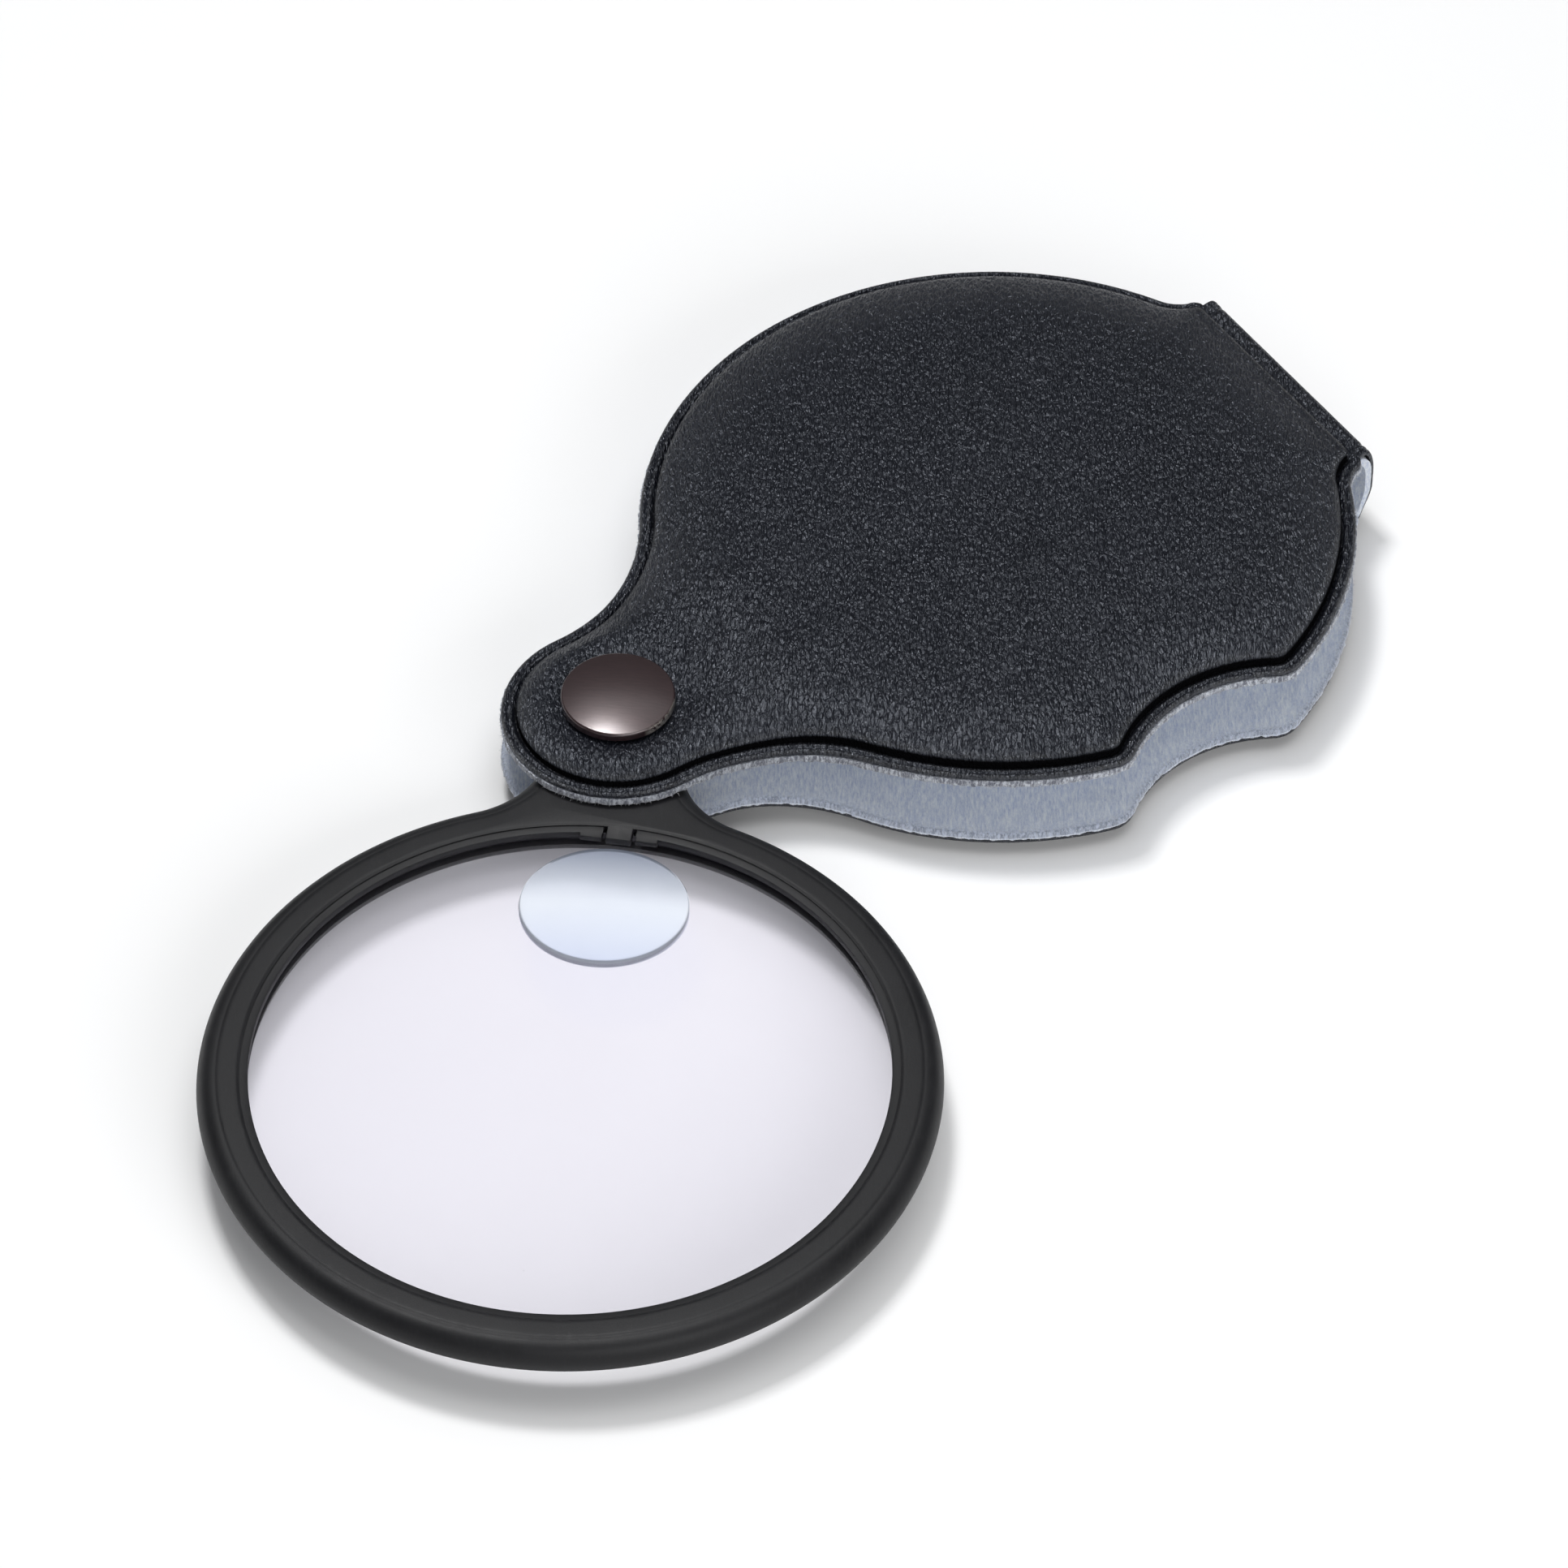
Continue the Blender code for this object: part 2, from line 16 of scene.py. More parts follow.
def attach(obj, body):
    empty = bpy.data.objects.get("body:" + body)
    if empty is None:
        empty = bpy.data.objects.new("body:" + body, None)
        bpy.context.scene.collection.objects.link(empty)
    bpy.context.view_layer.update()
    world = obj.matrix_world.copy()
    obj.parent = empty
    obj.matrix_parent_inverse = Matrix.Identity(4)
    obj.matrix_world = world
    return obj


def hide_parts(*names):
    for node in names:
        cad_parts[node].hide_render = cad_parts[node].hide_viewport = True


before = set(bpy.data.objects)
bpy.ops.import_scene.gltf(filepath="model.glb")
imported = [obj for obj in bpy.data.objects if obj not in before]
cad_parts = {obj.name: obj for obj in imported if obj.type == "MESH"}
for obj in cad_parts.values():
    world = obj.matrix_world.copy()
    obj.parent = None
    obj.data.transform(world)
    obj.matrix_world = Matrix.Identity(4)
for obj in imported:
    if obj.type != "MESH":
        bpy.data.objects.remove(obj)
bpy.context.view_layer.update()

MM = 0.001

# The case in plan
ARM = 43.1                    # pivot to the centre of the round body, and to the lens axis
BODY_R = 33.9
LOBE_R = 10.9
NECK_R = 17.0
FOLD_X = ARM + 33.2
EAR_HALF_WIDTH = 13.4
EAR_HOLLOW_R = 4.0
EAR_CORNER_R = 1.1
NOTCH_X, NOTCH_Y = ARM + 1.9, -44.2
NOTCH_R = 15.0
NOTCH_CORNER_R = 3.0

# The case in section: heights over the mid-plane at the riveted end and at the round body
MID_Z = 6.05
RISE_FROM, RISE_TO = 5.0, 18.0
LINING = (2.00, 3.10)
LINING_BACK = (2.45, 3.55)
BORDER = (3.35, 4.45)
PAD = (4.55, 6.05)
SKIN = 0.8
FOLD_DEPTH = 1.1              # how far the hollow of the fold reaches past the crease
CROWN = 0.65                  # how much the upper padding stands over its shoulders
SHOULDER = 0.76               # how much lower the upper padding is at its wall
WALL_INSET = 1.45             # where the padding's wall stands
WALL_BAND = (1.41, 1.59)      # the insets that the wall takes up
INNER_INSET = 2.90            # rings further in shrink towards the middle of the body
LINING_EDGE = -0.10           # the lining stands a little out of the skin's edge

# The lens and its frame
SWING = math.radians(-129.3)
LENS_TURN = math.radians(-3)
FRAME_R = 33.7
FRAME_HALF = 1.9
LUG_R, LUG_HALF, LUG_RECESS_R = 6.8, 1.6, 8.3
WEB_R = 9.0
BEARING_R = 2.48
OPENING_R = 29.0
SEAT_R, SEAT_HALF = 29.75, 0.9
GROOVE_R, GROOVE_TOP = 30.1, 1.65
KEY_WIDTH, KEY_REACH = 2.4, 28.2
HOOP_GAP, HOOP_END = 3.1, 2.1
LENS_R, LENS_EDGE_HALF, LENS_CENTRE_HALF = 29.6, 0.65, 2.75
BIFOCAL_OFFSET, BIFOCAL_R, BIFOCAL_Z = 19.9, 7.8, 1.82
BIFOCAL_TILT = math.radians(5.4)
BIFOCAL_SAG, BIFOCAL_DEPTH = 0.55, 1.0
FIT = 0.1

# The rivet
CAP_R, CAP_HEIGHT, CAP_SHEET, CAP_LIP_R = 5.35, 1.5, 0.35, 4.2
CAP_SEAT = PAD[0] + FIT
FLANGE = 0.3
HOLE_R = 2.6

# The viewpoint
VIEW_TARGET = (10.9, -11.4, 2.9)
VIEW_DISTANCE = 874.7
VIEW_ELEVATION = math.radians(46.6)
VIEW_BEARING = math.radians(-124.2)    # from the object to the camera
VIEW_LENS = 215.3

SAMPLES = 600                 # points round a case outline
EDGE_SKIN = 0.42              # the leatherette is pressed thin along its cut edge
THIN_TO, THICK_FROM = 0.9, 1.6    # how far in it stays thin, and where it has its full thickness
CREASE_FADE = 1.6             # the welded border fades out over this distance from the crease


# Small helpers

def smooth(t):
    t = np.clip(t, 0, 1)
    return t * t * (3 - 2 * t)


def level(x, heights):
    """Height at x of a layer that rises from the riveted end to the body."""
    return heights[0] + (heights[1] - heights[0]) * smooth((x - RISE_FROM) / (RISE_TO - RISE_FROM))


def bearing(origin, target):
    return math.atan2(target[1] - origin[1], target[0] - origin[0])


def crossing(c1, r1, c2, r2, side):
    """The point where two circles cross, left (side 1) or right (side -1) of the line c1 to c2."""
    gap = Vector(c2) - Vector(c1)
    along = (r1 * r1 - r2 * r2 + gap.length_squared) / (2 * gap.length)
    across = math.sqrt(r1 * r1 - along * along)
    ahead = gap.normalized()
    return tuple(Vector(c1) + ahead * along + Vector((-ahead.y, ahead.x)) * across * side)


def bridge(bm, near, far):
    """Joins two closed rings of as many points with a band of faces."""
    for i in range(len(near)):
        j = (i + 1) % len(near)
        bm.faces.new((near[i], near[j], far[j], far[i]))


def close_over(bm, rings, pole):
    """Joins closed rings from the rim inwards, and closes them on a middle point."""
    for near, far in zip(rings, rings[1:]):
        bridge(bm, near, far)
    middle, last = bm.verts.new(pole), rings[-1]
    for i in range(len(last)):
        bm.faces.new((last[i], last[(i + 1) % len(last)], middle))


def mesh_object(name, bm, body, slot, material, *nodes):
    """A finished mesh in millimetres as a piece that rides on a body and stands for CAD nodes."""
    bmesh.ops.recalc_face_normals(bm, faces=bm.faces)
    for face in bm.faces:
        face.smooth = True
    bmesh.ops.scale(bm, vec=(MM, MM, MM), verts=bm.verts)
    mesh = bpy.data.meshes.new(name)
    bm.to_mesh(mesh)
    bm.free()
    obj = bpy.data.objects.new(name, mesh)
    bpy.context.scene.collection.objects.link(obj)
    mesh.materials.append(material)
    if body:
        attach(obj, body)
        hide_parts(*nodes)
    return obj


def sharpen(obj, degrees):
    obj.data.set_sharp_from_angle(angle=math.radians(degrees))


# Case outline

def outline_runs(inset):
    """The panel's outline as arcs (centre, radius, start, end).

    The half width of the crease stands among them, in the middle.
    """
    pivot, body = (0.0, 0.0), (ARM, 0.0)
    neck = crossing(pivot, LOBE_R + NECK_R, body, BODY_R + NECK_R, 1)
    hollow_y = EAR_HALF_WIDTH + EAR_HOLLOW_R
    hollow = (ARM + math.sqrt((BODY_R + EAR_HOLLOW_R) ** 2 - hollow_y**2), hollow_y)
    hollow_r = EAR_HOLLOW_R + inset
    corner_r = max(EAR_CORNER_R - 0.25 * inset, 0.4)
    corner_x = crease_x(inset) - corner_r
    short = math.asin(max(hollow[0] - corner_x, 0) / hollow_r)
    crease_half = hollow_y - hollow_r * math.cos(short) - corner_r
    turn = 2 * math.pi
    upper = [
        (pivot, LOBE_R - inset, math.pi, bearing(pivot, neck)),
        (neck, NECK_R + inset, bearing(neck, pivot) + turn, bearing(neck, body) + turn),
        (body, BODY_R - inset, bearing(body, neck), bearing(body, hollow)),
        (hollow, hollow_r, bearing(hollow, body) + turn, 1.5 * math.pi - short),
        ((corner_x, crease_half), corner_r, math.pi / 2, 0),
    ]
    lower = [((c[0], -c[1]), r, -end, -start) for c, r, start, end in reversed(upper)]
    notch = (NOTCH_X, NOTCH_Y)
    reach = BODY_R - NOTCH_CORNER_R
    far, near = (crossing(body, reach, notch, NOTCH_R + NOTCH_CORNER_R, s) for s in (1, -1))
    notch_corner_r = NOTCH_CORNER_R - inset
    lower[2:3] = [
        (body, BODY_R - inset, lower[2][2], bearing(body, far)),
        (far, notch_corner_r, bearing(body, far), bearing(far, notch)),
        (notch, NOTCH_R + inset, bearing(notch, far), bearing(notch, near)),
        (near, notch_corner_r, bearing(near, notch), bearing(body, near)),
        (body, BODY_R - inset, bearing(body, near), lower[2][3]),
    ]
    return upper + [crease_half] + lower


def crease_x(inset):
    """Where an inset outline ends at the fold, which the padding comes nearer to than to a weld."""
    return FOLD_X - 0.55 * inset


def fine_crease_shares():
    """Places of the crease's samples from its start to its end, close together at the welded edges."""
    half = outline_runs(0.0)[CREASE_RUN]
    near_edge = [row[0] for row in SKIN_SECTION if not WALL_BAND[0] < row[0] < WALL_BAND[1]]
    plain = np.linspace(near_edge[-1], half, 22)[1:]
    steps = np.concatenate([near_edge, plain]) / half / 2
    return np.concatenate([steps, 1 - steps[-2:0:-1]])


def crease_shares(count):
    fine = fine_crease_shares()
    return fine if count == len(fine) else np.arange(count) / count


def run_counts(samples, crease=None):
    """How many samples each run of the outline takes, alike for all insets."""
    lengths = [run[1] * abs(run[3] - run[2]) for run in outline_runs(0.0) if isinstance(run, tuple)]
    counts = [max(5, round(samples * length / sum(lengths))) for length in lengths]
    counts.insert(CREASE_RUN, crease or len(fine_crease_shares()))
    return counts


def outline(inset, counts):
    """The outline as an array of points."""
    points = []
    for run, count in zip(outline_runs(inset), counts):
        if not isinstance(run, tuple):
            y = run * (1 - 2 * crease_shares(count))
            points.append(np.stack([np.full(count, crease_x(inset)), y], 1))
            continue
        centre, radius, start, end = run
        angle = start + (end - start) * np.arange(count) / count
        ring = np.stack([np.cos(angle), np.sin(angle)], 1) * radius
        points.append(ring + np.array(centre))
    return np.concatenate(points)


def outline_places(counts):
    """Each sample's place round the outline, as its run's number and its share of that run."""
    places = []
    for number, count in enumerate(counts):
        shares = crease_shares(count) if number == CREASE_RUN else np.arange(count) / count
        places.append(number + shares)
    return np.concatenate(places)


def crease_range(counts):
    """First and last sample on the crease."""
    before = sum(counts[:CREASE_RUN])
    return before, before + counts[CREASE_RUN]


def crease_distance(counts):
    """How far each sample is along the outline from the nearer end of the crease, 0 on the crease."""
    first, last = crease_range(counts)
    xy = outline(0.0, counts)
    run = np.concatenate([[0], np.cumsum(np.linalg.norm(np.diff(xy, axis=0), axis=1))])
    return np.maximum(np.maximum(run[first] - run, run - run[last]), 0)


def weld_mask(counts):
    """1 along the welded edges, falling to 0 along the crease, where the skin runs on into the fold."""
    return smooth(crease_distance(counts) / CREASE_FADE)


def edge_depth(counts, inset):
    """Distance in from the nearest cut edge, for the samples of an inset outline."""
    first, last = crease_range(counts)
    depth = np.full(sum(counts), float(inset))
    half = outline_runs(0.0)[CREASE_RUN]
    shares = crease_shares(counts[CREASE_RUN])
    depth[first:last] = np.maximum(inset, 2 * half * np.minimum(shares, 1 - shares))
    return depth


def skin_thickness(depth):
    return EDGE_SKIN + (SKIN - EDGE_SKIN) * smooth((depth - THIN_TO) / (THICK_FROM - THIN_TO))


# Case sheets

def interior(base, share):
    """An outline drawn in towards the middle of the body."""
    return base + (np.array((ARM, 0.0)) - base) * share


def fold_droop(angle):
    """The fold bulges most beside the upper panel, and is drawn in towards the lower."""
    high = float(smooth((math.radians(60) - angle) / math.radians(60)))
    low = float(smooth((math.radians(-5) - angle) / math.radians(50)))
    return 1 - 0.20 * high - 0.28 * low


def fold_rows(top, bottom, reach, rows, ridge, sink):
    """Rows of points round the fold, from the upper panel's crease to the lower's.

    The skin stands up in a ridge beside the upper crease. Sink lowers each sample into the surface.
    """
    made = []
    for j in range(1, rows):
        angle = math.pi / 2 - math.pi * j / rows
        out, up = math.cos(angle) ** 0.85 * fold_droop(angle), math.sin(angle)
        fade = min(1.0, 4 * j / rows, 4 * (rows - j) / rows)
        row = top.copy()
        row[:, 0] += reach * out + sink * fade * math.cos(angle)
        row[:, 2] = top[:, 2] * (1 + up) / 2 + bottom[:, 2] * (1 - up) / 2
        row[:, 2] += ridge * math.exp(-(((angle - 1.12) / 0.30) ** 2)) + sink * fade * up
        made.append(row)
    return made


class Sheet:
    """A closed folded sheet: an outer and an inner surface, joined at the rim and round the fold."""

    def __init__(self, counts):
        self.bm = bmesh.new()
        self.counts = counts
        self.total = sum(counts)
        self.wear_and_shade = self.bm.verts.layers.float.new("wear_and_shade")

    def ring(self, points, wear_and_shade=0.0):
        """Adds a closed ring of points. The mark of wear and painted shade is one value, or one for
        each point.
        """
        wear_and_shade_marks = np.broadcast_to(wear_and_shade, len(points))
        made = []
        for point, value in zip(points, wear_and_shade_marks):
            vert = self.bm.verts.new(point)
            vert[self.wear_and_shade] = float(value)
            made.append(vert)
        return made

    def quad(self, a, b, c, d):
        self.bm.faces.new((a, b, c, d))

    def rim(self, outer, inner):
        first, last = crease_range(self.counts)
        for i in range(self.total):
            if not first <= i < last:
                j = (i + 1) % self.total
                self.quad(outer[i], outer[j], inner[j], inner[i])

    def fold(self, tops, bottoms, reaches, rows, ridge=0.0, sinks=(0.0, 0.0)):
        """Carries the outer and inner surfaces round the fold from the upper rims to the lower."""
        first, last = crease_range(self.counts)
        sides = []
        for top, bottom, reach, sink in zip(tops, bottoms, reaches, sinks):
            top, bottom = top[first:last + 1], bottom[first:last + 1]
            start = np.array([v.co for v in top])
            end = np.array([v.co for v in bottom])
            made = fold_rows(start, end, reach, rows, ridge, sink)
            grid = [top] + [self.ring(row, 0.1) for row in made] + [bottom]
            for near, far in zip(grid, grid[1:]):
                for i in range(last - first):
                    self.quad(near[i], near[i + 1], far[i + 1], far[i])
            sides.append(grid)
        outer, inner = sides
        for i in (0, last - first):
            for j in range(rows):
                self.quad(outer[j][i], outer[j + 1][i], inner[j + 1][i], inner[j][i])


# Leatherette skin

# Inset from the rim, height over the border's own level, share of the padding's height, and a mark:
# wear above 0, painted shade below 0, which leaves the groove matt and dark as if the padding shaded
# it.
# Two weld lines run round the border, and the padding bulges a little over the groove at its foot.
SKIN_SECTION = (
    (0.00, -0.14, 0.0, 0.3),
    (0.04, -0.05, 0.0, 0.6),
    (0.12, 0.01, 0.0, 0.5),
    (0.24, 0.05, 0.0, 0.3),
    (0.36, 0.04, 0.0, 0.1),
    (0.46, -0.03, 0.0, 0.0),
    (0.53, -0.11, 0.0, 0.0),
    (0.60, -0.10, 0.0, 0.0),
    (0.68, -0.01, 0.0, 0.1),
    (0.80, 0.05, 0.0, 0.3),
    (0.92, 0.03, 0.0, 0.1),
    (1.02, -0.08, 0.0, 0.0),
    (1.14, -0.24, 0.0, -0.2),
    (1.28, -0.34, 0.0, -0.6),
    (1.42, -0.30, 0.0, -1.0),
    (1.46, -0.12, 0.16, -1.0),
    (1.44, 0.00, 0.42, -1.0),
    (1.425, 0.00, 0.64, -1.0),
    (1.46, 0.00, 0.80, -0.5),
    (1.60, 0.00, 0.92, 0.5),
    (1.92, 0.00, 0.97, 0.2),
    (2.30, 0.00, 0.99, 0.0),
    (INNER_INSET, 0.00, 1.0, 0.0),
)
INTERIOR_SHARES = [0.018, 0.038, 0.06, 0.085, 0.11, 0.14, 0.17] + [
    0.17 + 0.83 * i / 30 for i in range(1, 30)
]
CREASE_RUN = 5                # the crease's place among an outline's runs


# Padding, blown up against its welds

SIM_UNIT = 10.0               # the simulation runs with 10 mm as one unit
SIM_SAMPLES = (150, 14)       # round the outline, and on the crease
SIM_INSETS = (1.5, 2.0, INNER_INSET)
SIM_SHARES = (0.05, 0.10, 0.16, 0.23, 0.31, 0.40, 0.50, 0.60, 0.70, 0.80, 0.90)
SIM_FRAMES = 20
SIM_BAG_DEPTH = 1.2
SIM_CAP = 1.10                # farthest that the padding may rise, in mm


def ring_place(inset=None, share=None):
    """One scale for rings by inset and rings by share of the way to the middle."""
    if share is None:
        return (inset - SIM_INSETS[0]) / (INNER_INSET - SIM_INSETS[0])
    return 1 + 10 * share


def padding_rings(counts):
    """The padding's top as a coarse grid of rings, before it is blown up."""
    rings = [(ring_place(inset=d), outline(d, counts)) for d in SIM_INSETS]
    base = rings[-1][1]
    rings += [(ring_place(share=s), interior(base, s)) for s in SIM_SHARES]
    return rings


def build_padding_balloon(rings):
    """A closed bag: the padding's skin over a flat board. Only the skin is free to move."""
    bm = bmesh.new()
    rims = []
    for drop in (0.0, SIM_BAG_DEPTH):
        made = []
        for _, xy in rings:
            z = level(xy[:, 0], PAD) - drop
            made.append([bm.verts.new((x, y, h)) for (x, y), h in zip(xy, z)])
        close_over(bm, made, (ARM, 0, PAD[1] - drop))
        rims.append(made[0])
    top, board = rims
    bridge(bm, top, board)
    bmesh.ops.recalc_face_normals(bm, faces=bm.faces)
    bmesh.ops.scale(bm, vec=(1 / SIM_UNIT,) * 3, verts=bm.verts)
    mesh = bpy.data.meshes.new("padding")
    bm.to_mesh(mesh)
    bm.free()
    bag = bpy.data.objects.new("padding", mesh)
    bpy.context.scene.collection.objects.link(bag)
    free = len(rings) * len(top) + 1
    held = bag.vertex_groups.new(name="held")
    for vert in mesh.vertices:
        reach = math.hypot(vert.co.x, vert.co.y) * SIM_UNIT
        if vert.index >= free or vert.index < len(top) or reach < CAP_R + 0.3:
            held.add([vert.index], 1.0, "REPLACE")
    return bag, free


def blow_up(bag):
    cloth = bag.modifiers.new("cloth", "CLOTH")
    settings = cloth.settings
    settings.quality = 8
    settings.mass = 0.3
    settings.tension_stiffness = 40
    settings.compression_stiffness = 40
    settings.shear_stiffness = 20
    settings.bending_stiffness = 1.5
    settings.use_pressure = True
    settings.uniform_pressure_force = 4
    settings.vertex_group_mass = "held"
    settings.pin_stiffness = 1
    settings.shrink_min = -0.012
    settings.effector_weights.gravity = 0
    cloth.point_cache.frame_start = 1
    cloth.point_cache.frame_end = SIM_FRAMES
    scene = bpy.context.scene
    for step in range(1, SIM_FRAMES + 1):
        scene.frame_set(step)
    blown = bag.evaluated_get(bpy.context.evaluated_depsgraph_get())
    heights = np.array([v.co.z for v in blown.data.vertices]) * SIM_UNIT
    scene.frame_set(1)
    return heights


def simulate_padding():
    """How far the padding rises: ring places, sample places and heights."""
    counts = run_counts(*SIM_SAMPLES)
    rings = padding_rings(counts)
    bag, free = build_padding_balloon(rings)
    start = np.array([v.co.z for v in bag.data.vertices]) * SIM_UNIT
    rise = (blow_up(bag) - start)[:free - 1].reshape(len(rings), -1)
    bpy.data.objects.remove(bag)
    rise = np.nan_to_num(rise) * CROWN / max(np.percentile(rise, 90), 1e-3)
    for _ in range(2):
        rise = (rise + (np.roll(rise, 1, 1) + np.roll(rise, -1, 1)) / 2) / 2
    return [place for place, _ in rings], outline_places(counts), np.clip(rise, -0.1, SIM_CAP)


def padding_rise(blown, counts, place):
    """The simulated rise at a ring of the fine surface."""
    rings, samples, rise = blown
    row = np.array([np.interp(place, rings, column) for column in rise.T])
    return np.interp(outline_places(counts), samples, row, period=len(counts))


def puckers(x, y, depth):
    """Small creases of the padded skin, depth being the distance in from its welded foot."""
    made = np.empty(len(x))
    for i in range(len(x)):
        here = Vector((x[i], y[i], 0.0))
        slow = noise.noise(here * 0.085 + Vector((3.1, 7.7, 0)))
        quick = noise.noise(here * 0.42 + Vector((11.3, 2.9, 0)))
        made[i] = 0.10 * slow + 0.022 * quick
    near_edge = np.exp(-np.maximum(depth - 1.3, 0) / 2.5)
    r = np.hypot(x, y)
    bearing_here = np.arctan2(y, x)
    rays = np.sin(bearing_here * 17 + 1.3 * np.sin(bearing_here * 5)) * np.exp(-((r - 7.2) / 2.6) ** 2)
    return made * (0.35 + 0.65 * np.clip(depth / 6, 0, 1)) + 0.03 * rays * (1 - near_edge)


def pad_relief(x, y, depth, blown_rise):
    """How far the padding's top departs from its CAD level."""
    r = np.hypot(x, y)
    dimple = -0.24 * np.exp(-((np.maximum(r - 4.6, 0) / 1.7) ** 2))
    swell = 0.10 * np.exp(-(((r - 8.3) / 1.6) ** 2))
    relief = (dimple + swell) * smooth((depth - 1.2) / 0.8)
    return relief + puckers(x, y, depth) * smooth((depth - 1.5) / 1.5) + blown_rise


def plain_crown(x, depth):
    return CROWN * (1 - np.exp(-np.maximum(depth - 1.5, 0) / 5.5)) * smooth((x - 6) / 18)


def padding_lift(blown, counts, x, depth, place):
    return padding_rise(blown, counts, place) if blown else plain_crown(x, depth)


def shoulder_drop(xy, rim):
    """How far the padding's edge is rounded over, more broadly on the round body than by the rivet."""
    gap = np.hypot(xy[:, None, 0] - rim[None, :, 0], xy[:, None, 1] - rim[None, :, 1]).min(axis=1)
    width = 3.0 + 3.2 * smooth((xy[:, 0] - 4) / 14)
    return SHOULDER * np.clip(1 - (gap - WALL_INSET) / width, 0, 1) ** 2


def skin_outer_rings(sheet, side, blown):
    counts = sheet.counts
    rim = outline(0.0, counts)
    mask = weld_mask(counts)
    upper = 1.0 if side > 0 else 0.0
    rings = []
    for inset, offset, share, wear_and_shade in SKIN_SECTION:
        xy = outline(inset, counts)
        x, y = xy.T
        border, pad = level(x, BORDER), level(x, PAD)
        z = border + offset * mask + share * (pad - border)
        if share > 0:
            lift = padding_lift(blown, counts, x, inset, ring_place(inset=inset))
            z = z + share * pad_relief(x, y, np.full(len(x), inset), upper * lift)
            z = z - upper * share * shoulder_drop(xy, rim)
        wear_and_shade_marks = wear_and_shade * np.where(mask < 0.5, 2.0 * (share > 0.75) + 0.2, 1.0)
        rings.append(place_ring(sheet, xy, z, side, wear_and_shade_marks))
    base = outline(INNER_INSET, counts)
    reach = np.hypot(base[:, 0] - ARM, base[:, 1])
    for share in INTERIOR_SHARES:
        xy = interior(base, share)
        x, y = xy.T
        depth = INNER_INSET + share * reach
        lift = padding_lift(blown, counts, x, depth, ring_place(share=share))
        z = level(x, PAD) + pad_relief(x, y, depth, upper * lift) - upper * shoulder_drop(xy, rim)
        rings.append(place_ring(sheet, xy, z, side, 0.0))
    return rings


def place_ring(sheet, xy, z, side, wear_and_shade):
    """Adds a ring for the upper (side 1) or lower panel. The lower stays above the resting plane."""
    height = np.maximum(MID_Z + side * z, 0.0)
    return sheet.ring(np.column_stack([xy, height]), wear_and_shade)


def skin_inner_rings(sheet, side):
    """The skin's inner face: along the border first, then up behind the padding."""
    counts = sheet.counts
    rings = []
    for inset in (0.0, 0.5, 0.9, 1.1, 1.35, 1.6, 2.30, 2.42, INNER_INSET):
        share = 1 if inset > 2.4 else 0
        xy = outline(inset, counts)
        under = level(xy[:, 0], BORDER) - skin_thickness(edge_depth(counts, inset))
        z = under * (1 - share) + (level(xy[:, 0], PAD) - SKIN) * share
        rings.append(place_ring(sheet, xy, z, side, 0.0))
    base = outline(INNER_INSET, counts)
    for share in (0.1, 0.25, 0.45, 0.7, 0.9):
        xy = interior(base, share)
        rings.append(place_ring(sheet, xy, level(xy[:, 0], PAD) - SKIN, side, 0.0))
    return rings


def strip_sink(counts):
    """How the weld lines go into the strip of the fold, for the crease's samples and the next one."""
    first, last = crease_range(counts)
    depth = edge_depth(counts, 0.0)[first:last + 1]
    section = np.array([row[:2] for row in SKIN_SECTION if row[0] < 1.3] + [(1.6, 0.0)])
    return np.interp(depth, section[:, 0], section[:, 1]), depth


def build_skin():
    counts = run_counts(SAMPLES)
    sheet = Sheet(counts)
    rims = []
    blown = simulate_padding()
    for side in (1, -1):
        outer = skin_outer_rings(sheet, side, blown)
        inner = skin_inner_rings(sheet, side)
        middle = PAD[1]
        if side > 0:
            middle += float(np.mean([v.co.z for v in outer[-1]])) - MID_Z - PAD[1]
        close_over(sheet.bm, outer, (ARM, 0, max(MID_Z + side * middle, 0)))
        close_over(sheet.bm, inner, (ARM, 0, MID_Z + side * (PAD[1] - SKIN)))
        sheet.rim(outer[0], inner[0])
        rims.append((outer[0], inner[0]))
    reach = FOLD_DEPTH + BORDER[1] - LINING[1]
    sink, depth = strip_sink(counts)
    sheet.fold(rims[0], rims[1], (reach, reach - skin_thickness(depth)), 30, 0.45, (sink, 0.0))
    skin = mesh_object(
        "case_skin_leatherette", sheet.bm, "case", "black_leatherette", LEATHER, "case_skin"
    )
    pierce(skin)
    sharpen(skin, 50)


def pierce(obj):
    """Cuts the rivet's hole."""
    bm = bmesh.new()
    bmesh.ops.create_cone(bm, cap_ends=True, segments=48, radius1=HOLE_R, radius2=HOLE_R, depth=40)
    cutter = mesh_object("hole_cutter", bm, None, None, LEATHER)
    apply_boolean(obj, cutter, "DIFFERENCE")


def apply_boolean(obj, other, operation):
    modifier = obj.modifiers.new("boolean", "BOOLEAN")
    modifier.operation = operation
    modifier.solver = "EXACT"
    modifier.object = other
    graph = bpy.context.evaluated_depsgraph_get()
    mesh = bpy.data.meshes.new_from_object(obj.evaluated_get(graph))
    obj.modifiers.clear()
    obj.data = mesh
    bpy.data.objects.remove(other)


# Lining

# Inset, share of the thickness above the face, and how far the nap is cut. On the lower panel the
# cut is counted below 0, and the material paints that edge darker than the upper one: painted shade
# under the upper panel.
LINING_SECTION = (
    (LINING_EDGE, 0.70, 1.0),
    (-0.095, 0.45, 1.0),
    (-0.07, 0.20, 1.0),
    (0.02, 0.04, 1.0),
    (0.16, 0.0, 0.6),
    (0.40, 0.0, 0.35),
    (0.90, 0.0, 0.2),
    (1.60, 0.0, 0.1),
    (INNER_INSET, 0.0, 0.0),
)


